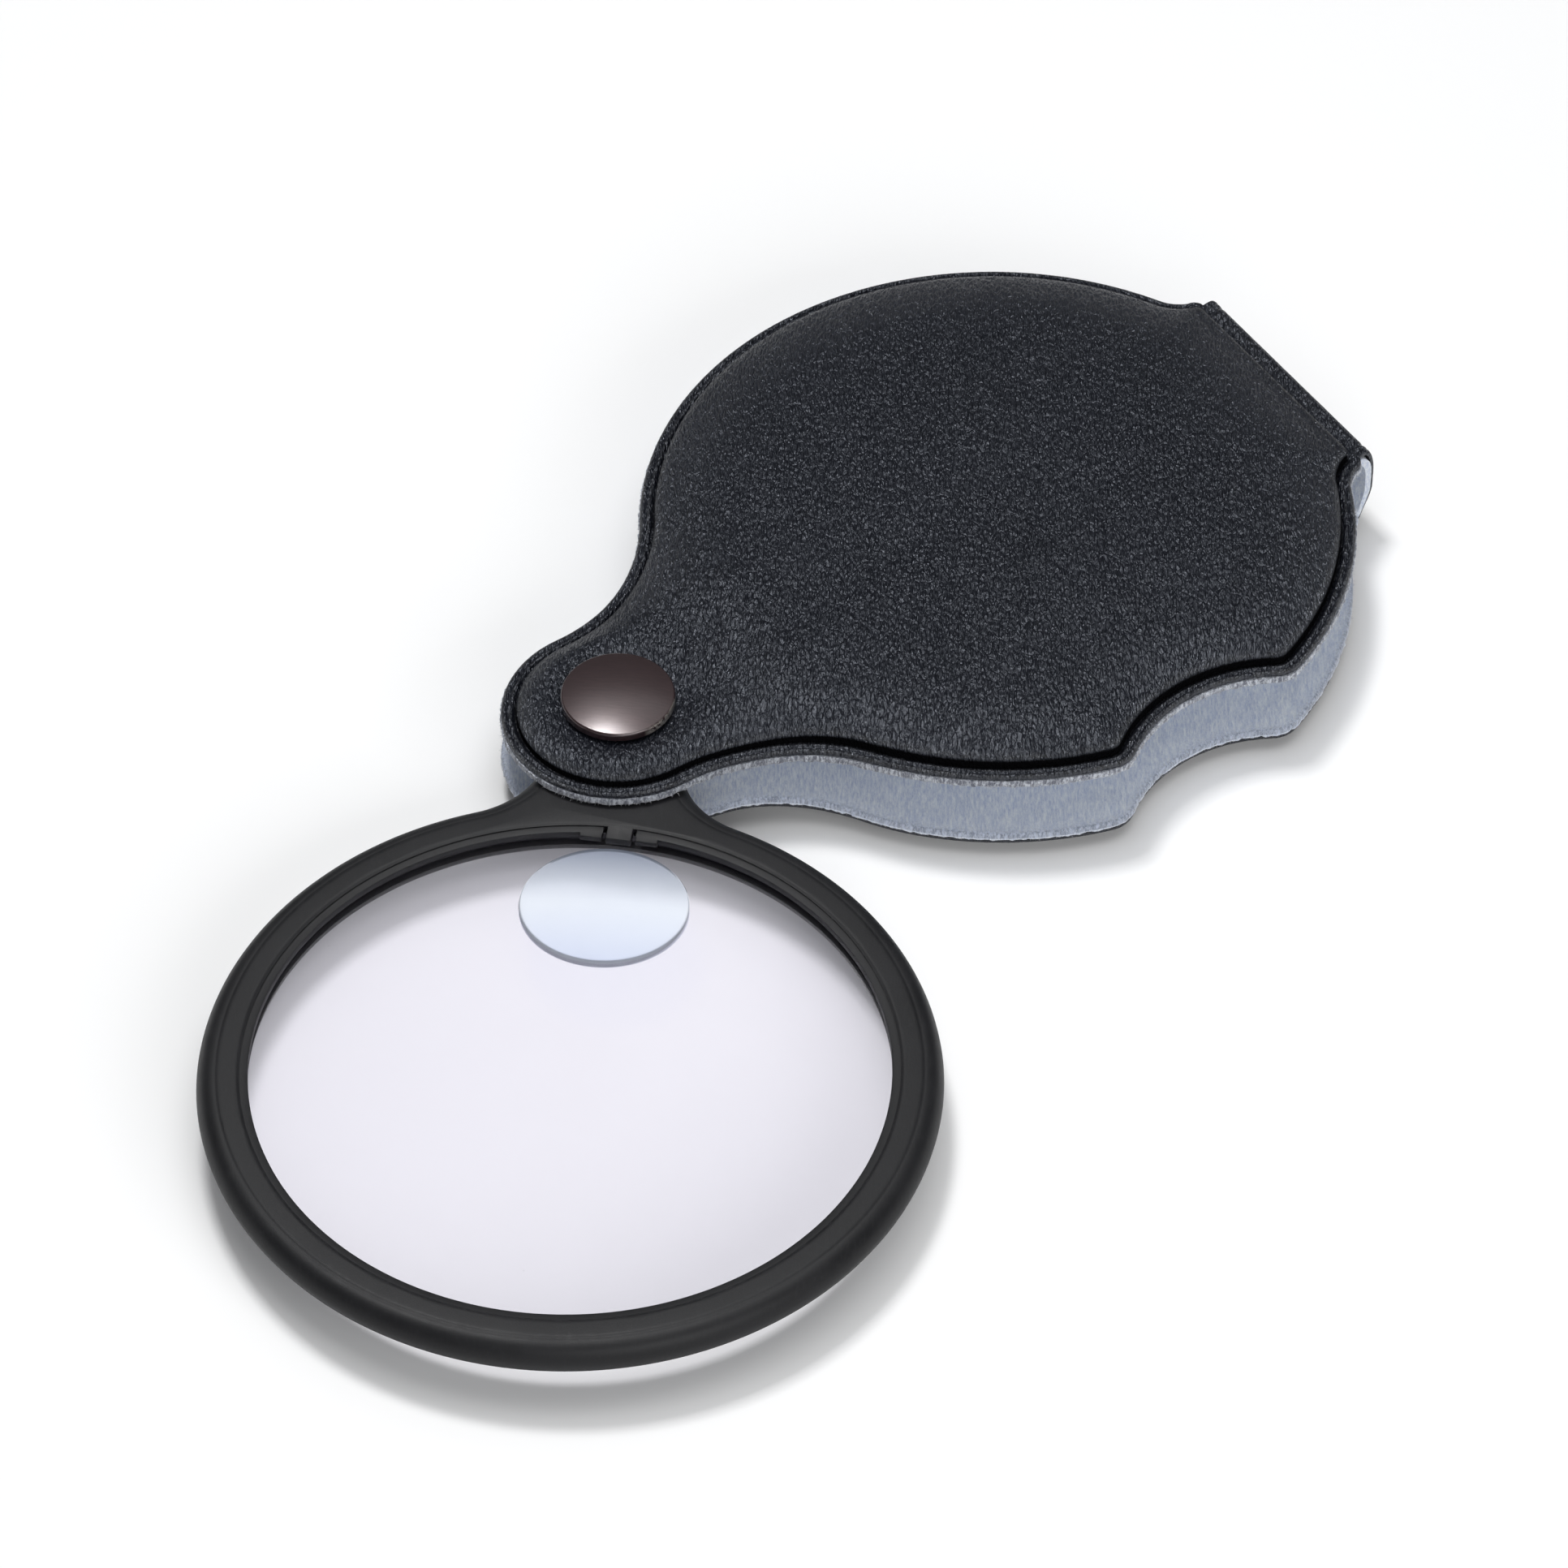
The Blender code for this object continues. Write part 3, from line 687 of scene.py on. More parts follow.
def lining_back(counts, xy, inset):
    """Height of the lining's back: it follows the skin, and so is thickest at the cut edge."""
    return level(xy[:, 0], BORDER) - skin_thickness(edge_depth(counts, max(inset, 0.0))) - FIT


def roughen_cut_edge(lining):
    """Leaves the cut edge slightly ragged."""
    draw = random.Random(4)
    cut_and_shade = lining.data.attributes["wear_and_shade"].data
    for vert, edge in zip(lining.data.vertices, cut_and_shade):
        if edge.value > 0.5:
            vert.co += Vector([draw.gauss(0, 0.045 * edge.value * MM) for _ in range(3)])


def build_lining():
    counts = run_counts(SAMPLES)
    sheet = Sheet(counts)
    rims = []
    mask = weld_mask(counts)
    for side in (1, -1):
        front = []
        for inset, lift, wear_and_shade in LINING_SECTION:
            xy = outline(inset, counts)
            low, high = level(xy[:, 0], LINING), lining_back(counts, xy, inset)
            cut_and_shade = wear_and_shade * mask * side
            front.append(place_ring(sheet, xy, low + lift * (high - low) * mask, side, cut_and_shade))
        base = outline(INNER_INSET, counts)
        for share in [i / 24 for i in range(1, 24)]:
            xy = interior(base, share)
            ripple = np.array([noise.noise(Vector((x, y, 0)) * 0.25) for x, y in xy]) * 0.03
            front.append(place_ring(sheet, xy, level(xy[:, 0], LINING) + ripple, side, 0.0))
        back = []
        for inset in (LINING_EDGE, 0.9, 1.2, 1.6, INNER_INSET):
            xy = outline(inset, counts)
            wear_and_shade = mask if inset < 0 else 0.0
            back.append(place_ring(sheet, xy, lining_back(counts, xy, inset), side, wear_and_shade))
        for share in (0.2, 0.4, 0.6, 0.8):
            xy = interior(base, share)
            back.append(place_ring(sheet, xy, level(xy[:, 0], LINING_BACK), side, 0.0))
        close_over(sheet.bm, front, (ARM, 0, MID_Z + side * LINING[1]))
        close_over(sheet.bm, back, (ARM, 0, MID_Z + side * LINING_BACK[1]))
        sheet.rim(back[0], front[0])
        rims.append((back[0], front[0]))
    _, depth = strip_sink(counts)
    reach = FOLD_DEPTH + BORDER[1] - LINING[1] - skin_thickness(depth) - FIT
    sheet.fold(rims[0], rims[1], (reach, FOLD_DEPTH), 24)
    lining = mesh_object("case_lining_nap", sheet.bm, "case", "grey_lining", FELT, "case_lining")
    pierce(lining)
    roughen_cut_edge(lining)
    sharpen(lining, 60)


def build_edge_fibres():
    """Stray fibres along the lining's cut edge."""
    counts = run_counts(2200)
    mask = weld_mask(counts)
    xy = outline(-0.08, counts)
    ahead = np.roll(xy, -1, axis=0) - xy
    out = np.stack([-ahead[:, 1], ahead[:, 0]], 1)
    out /= np.maximum(np.linalg.norm(out, axis=1, keepdims=True), 1e-9)
    draw = random.Random(11)
    bm = bmesh.new()
    for side in (1, -1):
        for i, (x, y) in enumerate(xy):
            if mask[i] < 0.9 or draw.random() < 0.35:
                continue
            low, high = level(x, LINING), level(x, BORDER) - EDGE_SKIN - FIT
            z = MID_Z + side * draw.uniform(low, high)
            length = draw.uniform(0.08, 0.30) * (1.8 if draw.random() < 0.04 else 1.0)
            lean = Vector((out[i][0], out[i][1], draw.uniform(-0.9, 0.5))).normalized()
            add_fibre(bm, Vector((x, y, z)), lean * length, draw.uniform(0.018, 0.035))
    mesh_object("case_lining_edge_fibres", bm, "case", "grey_lining", FIBRE)


def add_fibre(bm, root, reach, radius):
    """A closed three-sided spike."""
    side = reach.cross(Vector((0, 0, 1)))
    side = (side if side.length > 1e-6 else Vector((1, 0, 0))).normalized() * radius
    up = reach.cross(side).normalized() * radius
    start = root - reach.normalized() * 0.05
    base = [bm.verts.new(start + side * math.cos(a) + up * math.sin(a)) for a in (0.0, 2.094, 4.189)]
    tip = bm.verts.new(root + reach)
    bm.faces.new(base)
    for i in range(3):
        bm.faces.new((base[i], tip, base[(i + 1) % 3]))


# Turned shapes

def turned(name, profile, steps, body, slot, material, *nodes, closed=False):
    """A profile of (radius, z) points swept about the vertical axis through the origin."""
    bm = bmesh.new()
    count = len(profile)
    rings = []
    for radius, z in profile:
        if radius < 1e-6:
            rings.append([bm.verts.new((0, 0, z))])
            continue
        turn = [2 * math.pi * i / steps for i in range(steps)]
        rings.append([bm.verts.new((radius * math.cos(a), radius * math.sin(a), z)) for a in turn])
    pairs = [(i, i + 1) for i in range(count - 1)] + ([(count - 1, 0)] if closed else [])
    for i, j in pairs:
        upper, lower = rings[i], rings[j]
        for k in range(steps):
            ends = ((upper, k), (upper, k + 1), (lower, k + 1), (lower, k))
            corners = list(dict.fromkeys(ring[at % steps % len(ring)] for ring, at in ends))
            if len(corners) > 2:
                bm.faces.new(corners)
    return mesh_object(name, bm, body, slot, material, *nodes)


def rounded(points, radius, steps=4):
    """A profile with its inner corners rounded, to a radius or to what their sides allow."""
    made = [points[0]]
    for before, corner, after in zip(points, points[1:], points[2:]):
        a, b = Vector(before) - Vector(corner), Vector(after) - Vector(corner)
        reach = min(radius, a.length * 0.45, b.length * 0.45)
        start, end = a.normalized() * reach, b.normalized() * reach
        for i in range(steps + 1):
            t = i / steps
            made.append(tuple(Vector(corner) + start * (1 - t) ** 2 + end * t * t))
    return made + [points[-1]]


def dome(radius, edge_z, top_z, steps):
    """A spherical cap's profile, from the axis out to the edge."""
    sag = top_z - edge_z
    sphere = (radius * radius + sag * sag) / (2 * sag)
    radii = [radius * math.sin(math.pi / 2 * i / steps) for i in range(steps + 1)]
    return [(r, top_z - sphere + math.sqrt(sphere * sphere - r * r)) for r in radii]


def to_lens_axis(obj):
    obj.data.transform(Matrix.Translation((ARM * MM, 0, 0)))


def to_arm(obj, x=0.0, y=0.0, z=0.0, tilt=0.0, turn=0.0):
    """Moves a mesh made at the origin to a place in the lens arm's own frame, at rest."""
    local = Matrix.Translation((x * MM, y * MM, z * MM))
    local = local @ Matrix.Rotation(turn, 4, "Z") @ Matrix.Rotation(tilt, 4, "Y")
    obj.data.transform(Matrix.Translation((0, 0, MID_Z * MM)) @ Matrix.Rotation(SWING, 4, "Z") @ local)


# Rivet

def build_rivet():
    shoulder = CAP_SHEET + FLANGE + 2 * FIT
    outside = dome(CAP_R - 0.1, shoulder + 0.08, CAP_HEIGHT, 16)
    inner_r = CAP_R - CAP_SHEET
    rim = [
        (CAP_R, shoulder - 0.12),
        (CAP_R, 0.12),
        (CAP_R - 0.14, 0.0),
        (CAP_LIP_R, 0.0),
        (CAP_LIP_R, CAP_SHEET),
        (inner_r, CAP_SHEET),
    ]
    ceiling = dome(inner_r, shoulder, CAP_HEIGHT - CAP_SHEET, 6)[::-1]
    edge = rounded([outside[-1]] + rim + [ceiling[0]], 0.12)
    profile = outside[:-1] + edge[1:] + ceiling[1:]
    lifted = [(r, z + MID_Z + CAP_SEAT) for r, z in profile]
    cap = turned("rivet_cap_lacquered", lifted, 128, "case", "dark_bronze", LACQUER, "rivet_cap")
    sharpen(cap, 60)

    base_seat = MID_Z - CAP_SEAT - CAP_SHEET - FLANGE - FIT
    rim_z = MID_Z - CAP_SEAT
    shell = [
        (0, base_seat - FIT),
        (inner_r, base_seat - FIT),
        (inner_r, rim_z - CAP_SHEET),
        (CAP_LIP_R, rim_z - CAP_SHEET),
        (CAP_LIP_R, rim_z),
        (CAP_R - 0.1, rim_z),
        (CAP_R, rim_z - CAP_SHEET),
        (CAP_R, 0.35),
        (CAP_R - 0.35, 0),
        (0, 0),
    ]
    shell = rounded(shell, 0.15)
    base = turned(
        "rivet_base_cap_lacquered", shell, 128, "case", "dark_bronze", LACQUER, "rivet_base_cap"
    )
    sharpen(base, 60)


# Lens frame

FRAME_STEP = math.radians(1.5)
CUT_PAST = 12                 # how far a cutter reaches past the moulding

# Inset from the frame's outline, and height: flat land, shallow line, then the rounded flank
FRAME_SECTION = (
    (3.30, 1.90), (2.70, 1.90), (2.20, 1.885), (2.00, 1.875), (1.88, 1.84), (1.78, 1.80),
    (1.66, 1.80), (1.50, 1.79), (1.25, 1.73), (1.00, 1.63), (0.75, 1.47), (0.52, 1.24),
    (0.33, 0.97), (0.17, 0.65), (0.06, 0.32), (0.00, 0.00),
)


def frame_outline(inset):
    """The frame's plan with its lug, the arm along +X. Insets share their point counts."""
    pivot, lens = (0.0, 0.0), (ARM, 0.0)
    web = crossing(pivot, LUG_R + WEB_R, lens, FRAME_R + WEB_R, 1)
    runs = [
        (pivot, LUG_R - inset, math.pi, bearing(pivot, web)),
        (web, WEB_R + inset, bearing(web, pivot), bearing(web, lens)),
        (lens, FRAME_R - inset, bearing(lens, web), 0.0),
    ]
    runs += [((c[0], -c[1]), r, -end, -start) for c, r, start, end in reversed(runs)]
    points = []
    for centre, radius, start, end in runs:
        count = math.ceil(abs(end - start) / FRAME_STEP)
        for i in range(count):
            a = start + (end - start) * i / count
            points.append((centre[0] + radius * math.cos(a), centre[1] + radius * math.sin(a)))
    return points


def build_frame():
    bm = bmesh.new()
    section = list(FRAME_SECTION) + [(d, -z) for d, z in reversed(FRAME_SECTION[:-1])]
    rings = [[bm.verts.new((x, y, z)) for x, y in frame_outline(d)] for d, z in section]
    for upper, lower in zip(rings, rings[1:]):
        bridge(bm, upper, lower)
    bm.faces.new(rings[0])
    bm.faces.new(rings[-1])
    body = mesh_object("lens_frame_moulding", bm, "lens_arm", "black_plastic", PLASTIC, "lens_frame")

    groove_top = GROOVE_TOP + FIT
    bore = [
        (0, CUT_PAST), (SEAT_R + 0.45, CUT_PAST), (SEAT_R + 0.45, FRAME_HALF + 0.02),
        (SEAT_R + 0.20, FRAME_HALF - 0.04), (SEAT_R + 0.07, FRAME_HALF - 0.12),
        (SEAT_R + 0.02, groove_top + 0.02), (GROOVE_R, groove_top), (GROOVE_R, SEAT_HALF),
        (SEAT_R, SEAT_HALF), (SEAT_R, -SEAT_HALF), (OPENING_R, -SEAT_HALF),
        (OPENING_R, -FRAME_HALF + 0.2), (OPENING_R + 0.06, -FRAME_HALF + 0.06),
        (OPENING_R + 0.25, -FRAME_HALF - 0.02), (OPENING_R + 0.25, -CUT_PAST), (0, -CUT_PAST),
    ]
    cutter = turned("bore_cutter", bore, 240, None, None, PLASTIC)
    to_lens_axis(cutter)
    apply_boolean(body, cutter, "DIFFERENCE")
    for side in (1, -1):
        recess = round_cutter(LUG_RECESS_R, side * (LUG_HALF + CUT_PAST / 2))
        apply_boolean(body, recess, "DIFFERENCE")
    apply_boolean(body, round_cutter(BEARING_R, 0), "DIFFERENCE")
    length = GROOVE_R + 0.6 - KEY_REACH
    low, high = SEAT_HALF + FIT, FRAME_HALF - FIT
    place = (-KEY_REACH - length / 2, 0, (high + low) / 2)
    apply_boolean(body, softened_block((length, KEY_WIDTH, high - low), place), "UNION")
    to_arm(body)
    sharpen(body, 40)


def round_cutter(radius, z):
    bm = bmesh.new()
    bmesh.ops.create_cone(
        bm, cap_ends=True, segments=128, radius1=radius, radius2=radius, depth=CUT_PAST
    )
    bmesh.ops.translate(bm, verts=bm.verts, vec=(0, 0, z))
    return mesh_object("round_cutter", bm, None, None, PLASTIC)


def softened_block(size, centre):
    """A small block with rounded edges, placed about the lens axis and turned with the lens."""
    bm = bmesh.new()
    bmesh.ops.create_cube(bm, size=1.0)
    bmesh.ops.scale(bm, verts=bm.verts, vec=size)
    bmesh.ops.bevel(bm, geom=bm.edges, offset=0.12, segments=3, affect="EDGES", profile=0.5)
    bmesh.ops.translate(bm, verts=bm.verts, vec=centre)
    block = mesh_object("block", bm, None, None, PLASTIC)
    block.data.transform(Matrix.Translation((ARM * MM, 0, 0)) @ Matrix.Rotation(LENS_TURN, 4, "Z"))
    return block


def build_hoop():
    low, high = SEAT_HALF + FIT, GROOVE_TOP
    hoop_r = GROOVE_R - FIT
    edge = 0.15
    ring = [
        (OPENING_R + edge, high), (hoop_r, high), (hoop_r, low), (OPENING_R, low),
        (OPENING_R, high - edge), (OPENING_R + 0.04, high - 0.04),
    ]
    hoop = turned(
        "lens_retaining_hoop_moulding", ring, 240, "lens_arm", "black_plastic", PLASTIC,
        "lens_retaining_hoop", closed=True,
    )
    to_lens_axis(hoop)
    middle = (low + high) / 2
    gap = softened_block((4, HOOP_GAP, 4), (-OPENING_R, 0, middle))
    apply_boolean(hoop, gap, "DIFFERENCE")
    for side in (1, -1):
        place = (-OPENING_R + 0.1, side * (HOOP_GAP + HOOP_END) / 2, middle)
        end = softened_block((1.1, HOOP_END, high - low - 0.02), place)
        apply_boolean(hoop, end, "UNION")
    to_arm(hoop)
    sharpen(hoop, 40)


# Lenses

def bifocal_centre():
    """Where the bifocal lens lies in plan, in the lens arm's own frame."""
    return ARM - BIFOCAL_OFFSET * math.cos(LENS_TURN), -BIFOCAL_OFFSET * math.sin(LENS_TURN)


def build_lenses():
    upper = dome(LENS_R, LENS_EDGE_HALF, LENS_CENTRE_HALF, 24)
    lower = [(r, -z) for r, z in reversed(upper)]
    lens = turned(
        "main_lens_clear", upper + lower, 240, "lens_arm", "clear_acrylic", ACRYLIC, "main_lens"
    )
    to_lens_axis(lens)
    seat_r, seat_z = BIFOCAL_R + 0.05, -BIFOCAL_DEPTH - 0.05
    seat_profile = [(0, CUT_PAST), (seat_r, CUT_PAST), (seat_r, seat_z), (0, seat_z)]
    seat = turned("seat_cutter", seat_profile, 160, None, None, ACRYLIC)
    x, y = bifocal_centre()
    matrix = Matrix.Translation((x * MM, y * MM, BIFOCAL_Z * MM)) @ Matrix.Rotation(LENS_TURN, 4, "Z")
    seat.data.transform(matrix @ Matrix.Rotation(-BIFOCAL_TILT, 4, "Y"))
    apply_boolean(lens, seat, "DIFFERENCE")
    to_arm(lens)
    sharpen(lens, 25)

    top = dome(BIFOCAL_R - 0.12, 0.02, BIFOCAL_SAG, 16)
    side = [(BIFOCAL_R - 0.03, -0.03), (BIFOCAL_R, -0.12), (BIFOCAL_R, -BIFOCAL_DEPTH)]
    profile = top + side + [(0, -BIFOCAL_DEPTH)]
    bifocal = turned(
        "bifocal_lens_clear", profile, 160, "lens_arm", "clear_acrylic", SEGMENT, "bifocal_lens"
    )
    to_arm(bifocal, x, y, BIFOCAL_Z, -BIFOCAL_TILT, LENS_TURN)
    sharpen(bifocal, 25)


# Materials

def node(tree, kind, inputs=None, **settings):
    """Adds a shader node. An input is a value, or a socket to link from."""
    made = tree.nodes.new("ShaderNode" + kind)
    for key, value in settings.items():
        setattr(made, key, value)
    for key, value in (inputs or {}).items():
        if isinstance(value, bpy.types.NodeSocket):
            tree.links.new(value, made.inputs[key])
        else:
            made.inputs[key].default_value = value
    return made


def new_material(name):
    made = bpy.data.materials.new(name)
    made.use_nodes = True
    tree = made.node_tree
    return made, tree, tree.nodes["Principled BSDF"]


def surface_mm(tree, stretch=(1.0, 1.0, 1.0), turn=0.0):
    """Object coordinates in millimetres, turned about Z and then scaled."""
    source = node(tree, "TexCoord")
    scale = tuple(s / MM for s in stretch)
    turned_place = {"Vector": source.outputs["Object"], "Rotation": (0, 0, turn)}
    mapping = node(tree, "Mapping", turned_place)
    return vectors(tree, "MULTIPLY", mapping.outputs[0], scale).outputs[0]


def vectors(tree, operation, first, second=(0.0, 0.0, 0.0)):
    return node(tree, "VectorMath", {0: first, 1: second}, operation=operation)


def measure(tree, operation, first, second=(0.0, 0.0, 0.0)):
    """A number worked out from one or two vectors."""
    return vectors(tree, operation, first, second).outputs["Value"]


def noise_at(tree, where, scale, detail=4.0, roughness=0.55):
    inputs = {"Vector": where, "Scale": scale, "Detail": detail, "Roughness": roughness}
    return node(tree, "TexNoise", inputs).outputs["Fac"]


def ramp(tree, value, low, high, start=0.0, end=1.0):
    """Maps low..high onto start..end, clamped."""
    inputs = {"Value": value, "From Min": low, "From Max": high, "To Min": start, "To Max": end}
    return node(tree, "MapRange", inputs).outputs[0]


def blend(tree, share, first, second):
    """Mixes two colours."""
    made = node(tree, "Mix", {"Factor": share}, data_type="RGBA")
    for slot, value in ((6, first), (7, second)):
        if isinstance(value, bpy.types.NodeSocket):
            tree.links.new(value, made.inputs[slot])
        else:
            made.inputs[slot].default_value = (*value, 1.0)
    return made.outputs[2]


def total(tree, first, second, operation="ADD"):
    return node(tree, "Math", {0: first, 1: second}, operation=operation).outputs[0]


def product(tree, first, second):
    return total(tree, first, second, "MULTIPLY")


def wear_and_shade_of(tree):
    return node(tree, "Attribute", attribute_name="wear_and_shade").outputs["Fac"]


def bump(tree, height, distance_mm, strength):
    inputs = {"Height": height, "Distance": distance_mm * MM, "Strength": strength}
    return node(tree, "Bump", inputs).outputs[0]


def mix_shaders(tree, share, first, second):
    return node(tree, "MixShader", {0: share, 1: first, 2: second}).outputs[0]


def show(tree, shader):
    """Makes a shader the output of its material or world."""
    output = next(n for n in tree.nodes if n.type.startswith("OUTPUT"))
    tree.links.new(shader, output.inputs["Surface"])


def lint(tree, where, spacing, size):
    """1 on a few scattered specks."""
    cells = node(tree, "TexVoronoi", {"Vector": where, "Scale": 1 / spacing}, feature="F1")
    near = ramp(tree, cells.outputs["Distance"], size / spacing, size / spacing * 0.5)
    pick = node(tree, "SeparateColor", {0: cells.outputs["Color"]})
    return product(tree, near, ramp(tree, pick.outputs[0], 0.80, 0.82))


def put(tree, bsdf, **values):
    """Sets or links inputs of the Principled BSDF, their names given with underscores."""
    for key, value in values.items():
        slot = bsdf.inputs[key.replace("_", " ")]
        if isinstance(value, bpy.types.NodeSocket):
            tree.links.new(value, slot)
        elif isinstance(value, tuple):
            slot.default_value = (*value, 1.0)
        else:
            slot.default_value = value


AWAY = -math.pi / 2 - VIEW_BEARING    # turns the direction away from the viewer onto +Y
# The rubbed rim faces lower right in the view, so its bright metal is wear and also a painted glint.
RUBBED_GLINT_SIDE = (0.42, -0.91, 0.0)      # where the cap's rim is rubbed bright
LEAST_EXIT = 0.745                    # below this cosine, light inside acrylic can't leave it


def leather_material():
    made, tree, bsdf = new_material("leatherette")
    where = surface_mm(tree, (2.15, 0.72, 1.0), AWAY)
    plain = surface_mm(tree)
    warp = node(tree, "TexNoise", {"Vector": where, "Scale": 1.1, "Detail": 2.0})
    bent = vectors(tree, "SCALE", warp.outputs["Color"])
    bent.inputs["Scale"].default_value = 0.7
    moved = vectors(tree, "ADD", where, bent.outputs[0]).outputs[0]
    grain = {"Vector": moved, "Scale": 1.9, "Smoothness": 0.7}
    cells = node(tree, "TexVoronoi", grain, feature="SMOOTH_F1")
    coarse = {"Vector": moved, "Scale": 1.1}
    creases = node(tree, "TexVoronoi", coarse, feature="DISTANCE_TO_EDGE")
    pebble = ramp(tree, cells.outputs["Distance"], 0.1, 0.7, 1.0, 0.0)
    furrow = ramp(tree, creases.outputs["Distance"], 0.0, 0.14)
    fine = noise_at(tree, where, 3.6, 3.0)
    relief = total(tree, pebble, product(tree, furrow, 0.5))
    height = total(tree, relief, product(tree, fine, 0.7))
    slow = noise_at(tree, plain, 0.09, 3.0)
    wear_and_shade_marks = wear_and_shade_of(tree)
    uneven = ramp(tree, slow, 0.35, 0.65)
    shade = blend(tree, uneven, (0.0014, 0.0020, 0.0050), (0.0034, 0.0041, 0.0078))
    shade = blend(tree, product(tree, pebble, 0.5), shade, (0.008, 0.0088, 0.0125))
    # In the groove the colour is made even and the gloss is taken away: painted shade for the recess
    # under the padding's bulge.
    outside_groove = ramp(tree, wear_and_shade_marks, -1.0, 0.0)
    shade = blend(tree, outside_groove, (0.0040, 0.0040, 0.0048), shade)
    scuffed = ramp(tree, noise_at(tree, plain, 0.8, 4.0), 0.3, 0.65)
    patchy = product(tree, ramp(tree, wear_and_shade_marks, 0.0, 1.0), scuffed)
    shade = blend(tree, product(tree, patchy, 0.5), shade, (0.10, 0.097, 0.088))
    shade = blend(tree, product(tree, lint(tree, plain, 9.0, 0.12), 0.6), shade, (0.35, 0.35, 0.36))
    rough = ramp(tree, pebble, 0.0, 1.0, 0.41, 0.28)
    normal = bump(tree, height, 0.115, 1.0)
    gloss = product(tree, outside_groove, 0.78)
    put(tree, bsdf, Base_Color=shade, Roughness=rough, Normal=normal, Specular_IOR_Level=gloss,
        Specular_Tint=(0.84, 0.89, 1.0))
    return made


def felt_material():
    made, tree, bsdf = new_material("grey_nap")
    where = surface_mm(tree, (2.4, 0.45, 1.0), AWAY)
    plain = surface_mm(tree)
    streak = noise_at(tree, where, 2.2, 5.0, 0.72)
    fuzz = noise_at(tree, plain, 6.0, 4.0, 0.7)
    cut_and_shade = wear_and_shade_of(tree)
    shade = blend(tree, ramp(tree, streak, 0.36, 0.64), (0.52, 0.59, 0.76), (0.93, 0.97, 1.0))
    shade = blend(tree, ramp(tree, fuzz, 0.45, 0.75, 0.0, 0.35), shade, (0.88, 0.92, 0.98))
    ragged = noise_at(tree, surface_mm(tree, (1.0, 1.0, 0.25)), 4.0, 4.0, 0.75)
    fringe = blend(tree, ramp(tree, ragged, 0.44, 0.60), (0.14, 0.15, 0.19), (0.62, 0.65, 0.71))
    # The lower panel's cut edge is painted darker than the upper's. This is painted shade, so it sits
    # with the lining that the upper panel shades.
    shaded_lower_fringe = blend(tree, ramp(tree, ragged, 0.40, 0.60), (0.24, 0.27, 0.34), (0.52, 0.57, 0.68))
    shade = blend(tree, ramp(tree, cut_and_shade, 0.0, 1.0), shade, fringe)
    shade = blend(tree, ramp(tree, cut_and_shade, 0.0, -1.0), shade, shaded_lower_fringe)
    normal = bump(tree, total(tree, streak, fuzz), 0.10, 0.9)
    put(tree, bsdf, Base_Color=shade, Roughness=0.95, Normal=normal, Sheen_Weight=0.4,
        Sheen_Roughness=0.5, Specular_IOR_Level=0.15)
    return made


def fibre_material():
    made, tree, bsdf = new_material("cut_fibres")
    shade = blend(tree, noise_at(tree, surface_mm(tree), 1.5), (0.50, 0.51, 0.56), (0.85, 0.85, 0.87))
    put(tree, bsdf, Base_Color=shade, Roughness=0.9, Specular_IOR_Level=0.1)
    return made


def plastic_material():
    made, tree, bsdf = new_material("black_plastic")
    plain = surface_mm(tree)
    streaked = surface_mm(tree, (2.2, 0.4, 1.0), AWAY)
    grain = noise_at(tree, plain, 5.5, 3.0, 0.6)
    streak = noise_at(tree, streaked, 1.6, 4.0, 0.7)
    slow = noise_at(tree, plain, 0.12, 3.0)
    uneven = ramp(tree, slow, 0.35, 0.65)
    shade = blend(tree, uneven, (0.0062, 0.0062, 0.0074), (0.0095, 0.0095, 0.0110))
    shade = blend(tree, ramp(tree, streak, 0.5, 0.8, 0.0, 0.35), shade, (0.024, 0.024, 0.026))
    shade = blend(tree, lint(tree, plain, 8.0, 0.10), shade, (0.40, 0.40, 0.40))
    rough = ramp(tree, total(tree, slow, streak), 0.7, 1.3, 0.44, 0.56)
    height = total(tree, grain, product(tree, streak, 0.6))
    put(tree, bsdf, Base_Color=shade, Roughness=rough, Normal=bump(tree, height, 0.014, 0.8),
        Specular_IOR_Level=0.30)
    return made


def lacquer_material():
    """Dark bronze lacquer, rubbed through to bright metal on one side of the rim's lower edge: wear,
    and a painted glint.
    """
    made, tree, bsdf = new_material("bronze_lacquer")
    plain = surface_mm(tree)
    split = node(tree, "SeparateXYZ", {0: plain})
    cap_rim = MID_Z + CAP_SEAT
    low = ramp(tree, split.outputs["Z"], cap_rim + 0.95, cap_rim + 0.80)
    patches = ramp(tree, noise_at(tree, plain, 0.9, 5.0, 0.7), 0.40, 0.52)
    facing = measure(tree, "DOT_PRODUCT", plain, RUBBED_GLINT_SIDE)
    side = ramp(tree, facing, CAP_R * 0.86, CAP_R * 0.95)
    rubbed_glint = product(tree, product(tree, low, patches), side)
    scratches = noise_at(tree, surface_mm(tree, (0.6, 6.0, 1.0), 0.7), 1.2, 5.0, 0.7)
    streaked = ramp(tree, scratches, 0.4, 0.7)
    shade = blend(tree, streaked, (0.024, 0.0050, 0.0065), (0.036, 0.0110, 0.0120))
    shade = blend(tree, rubbed_glint, shade, (0.75, 0.70, 0.62))
    rough = ramp(tree, scratches, 0.3, 0.8, 0.28, 0.38)
    bright = ramp(tree, rubbed_glint, 0.0, 1.0, 0.55, 1.0)
    put(tree, bsdf, Base_Color=shade, Roughness=rough, Metallic=bright, Coat_Weight=1.0,
        Coat_Roughness=0.25, Coat_IOR=1.75, Normal=bump(tree, scratches, 0.006, 0.5))
    return made


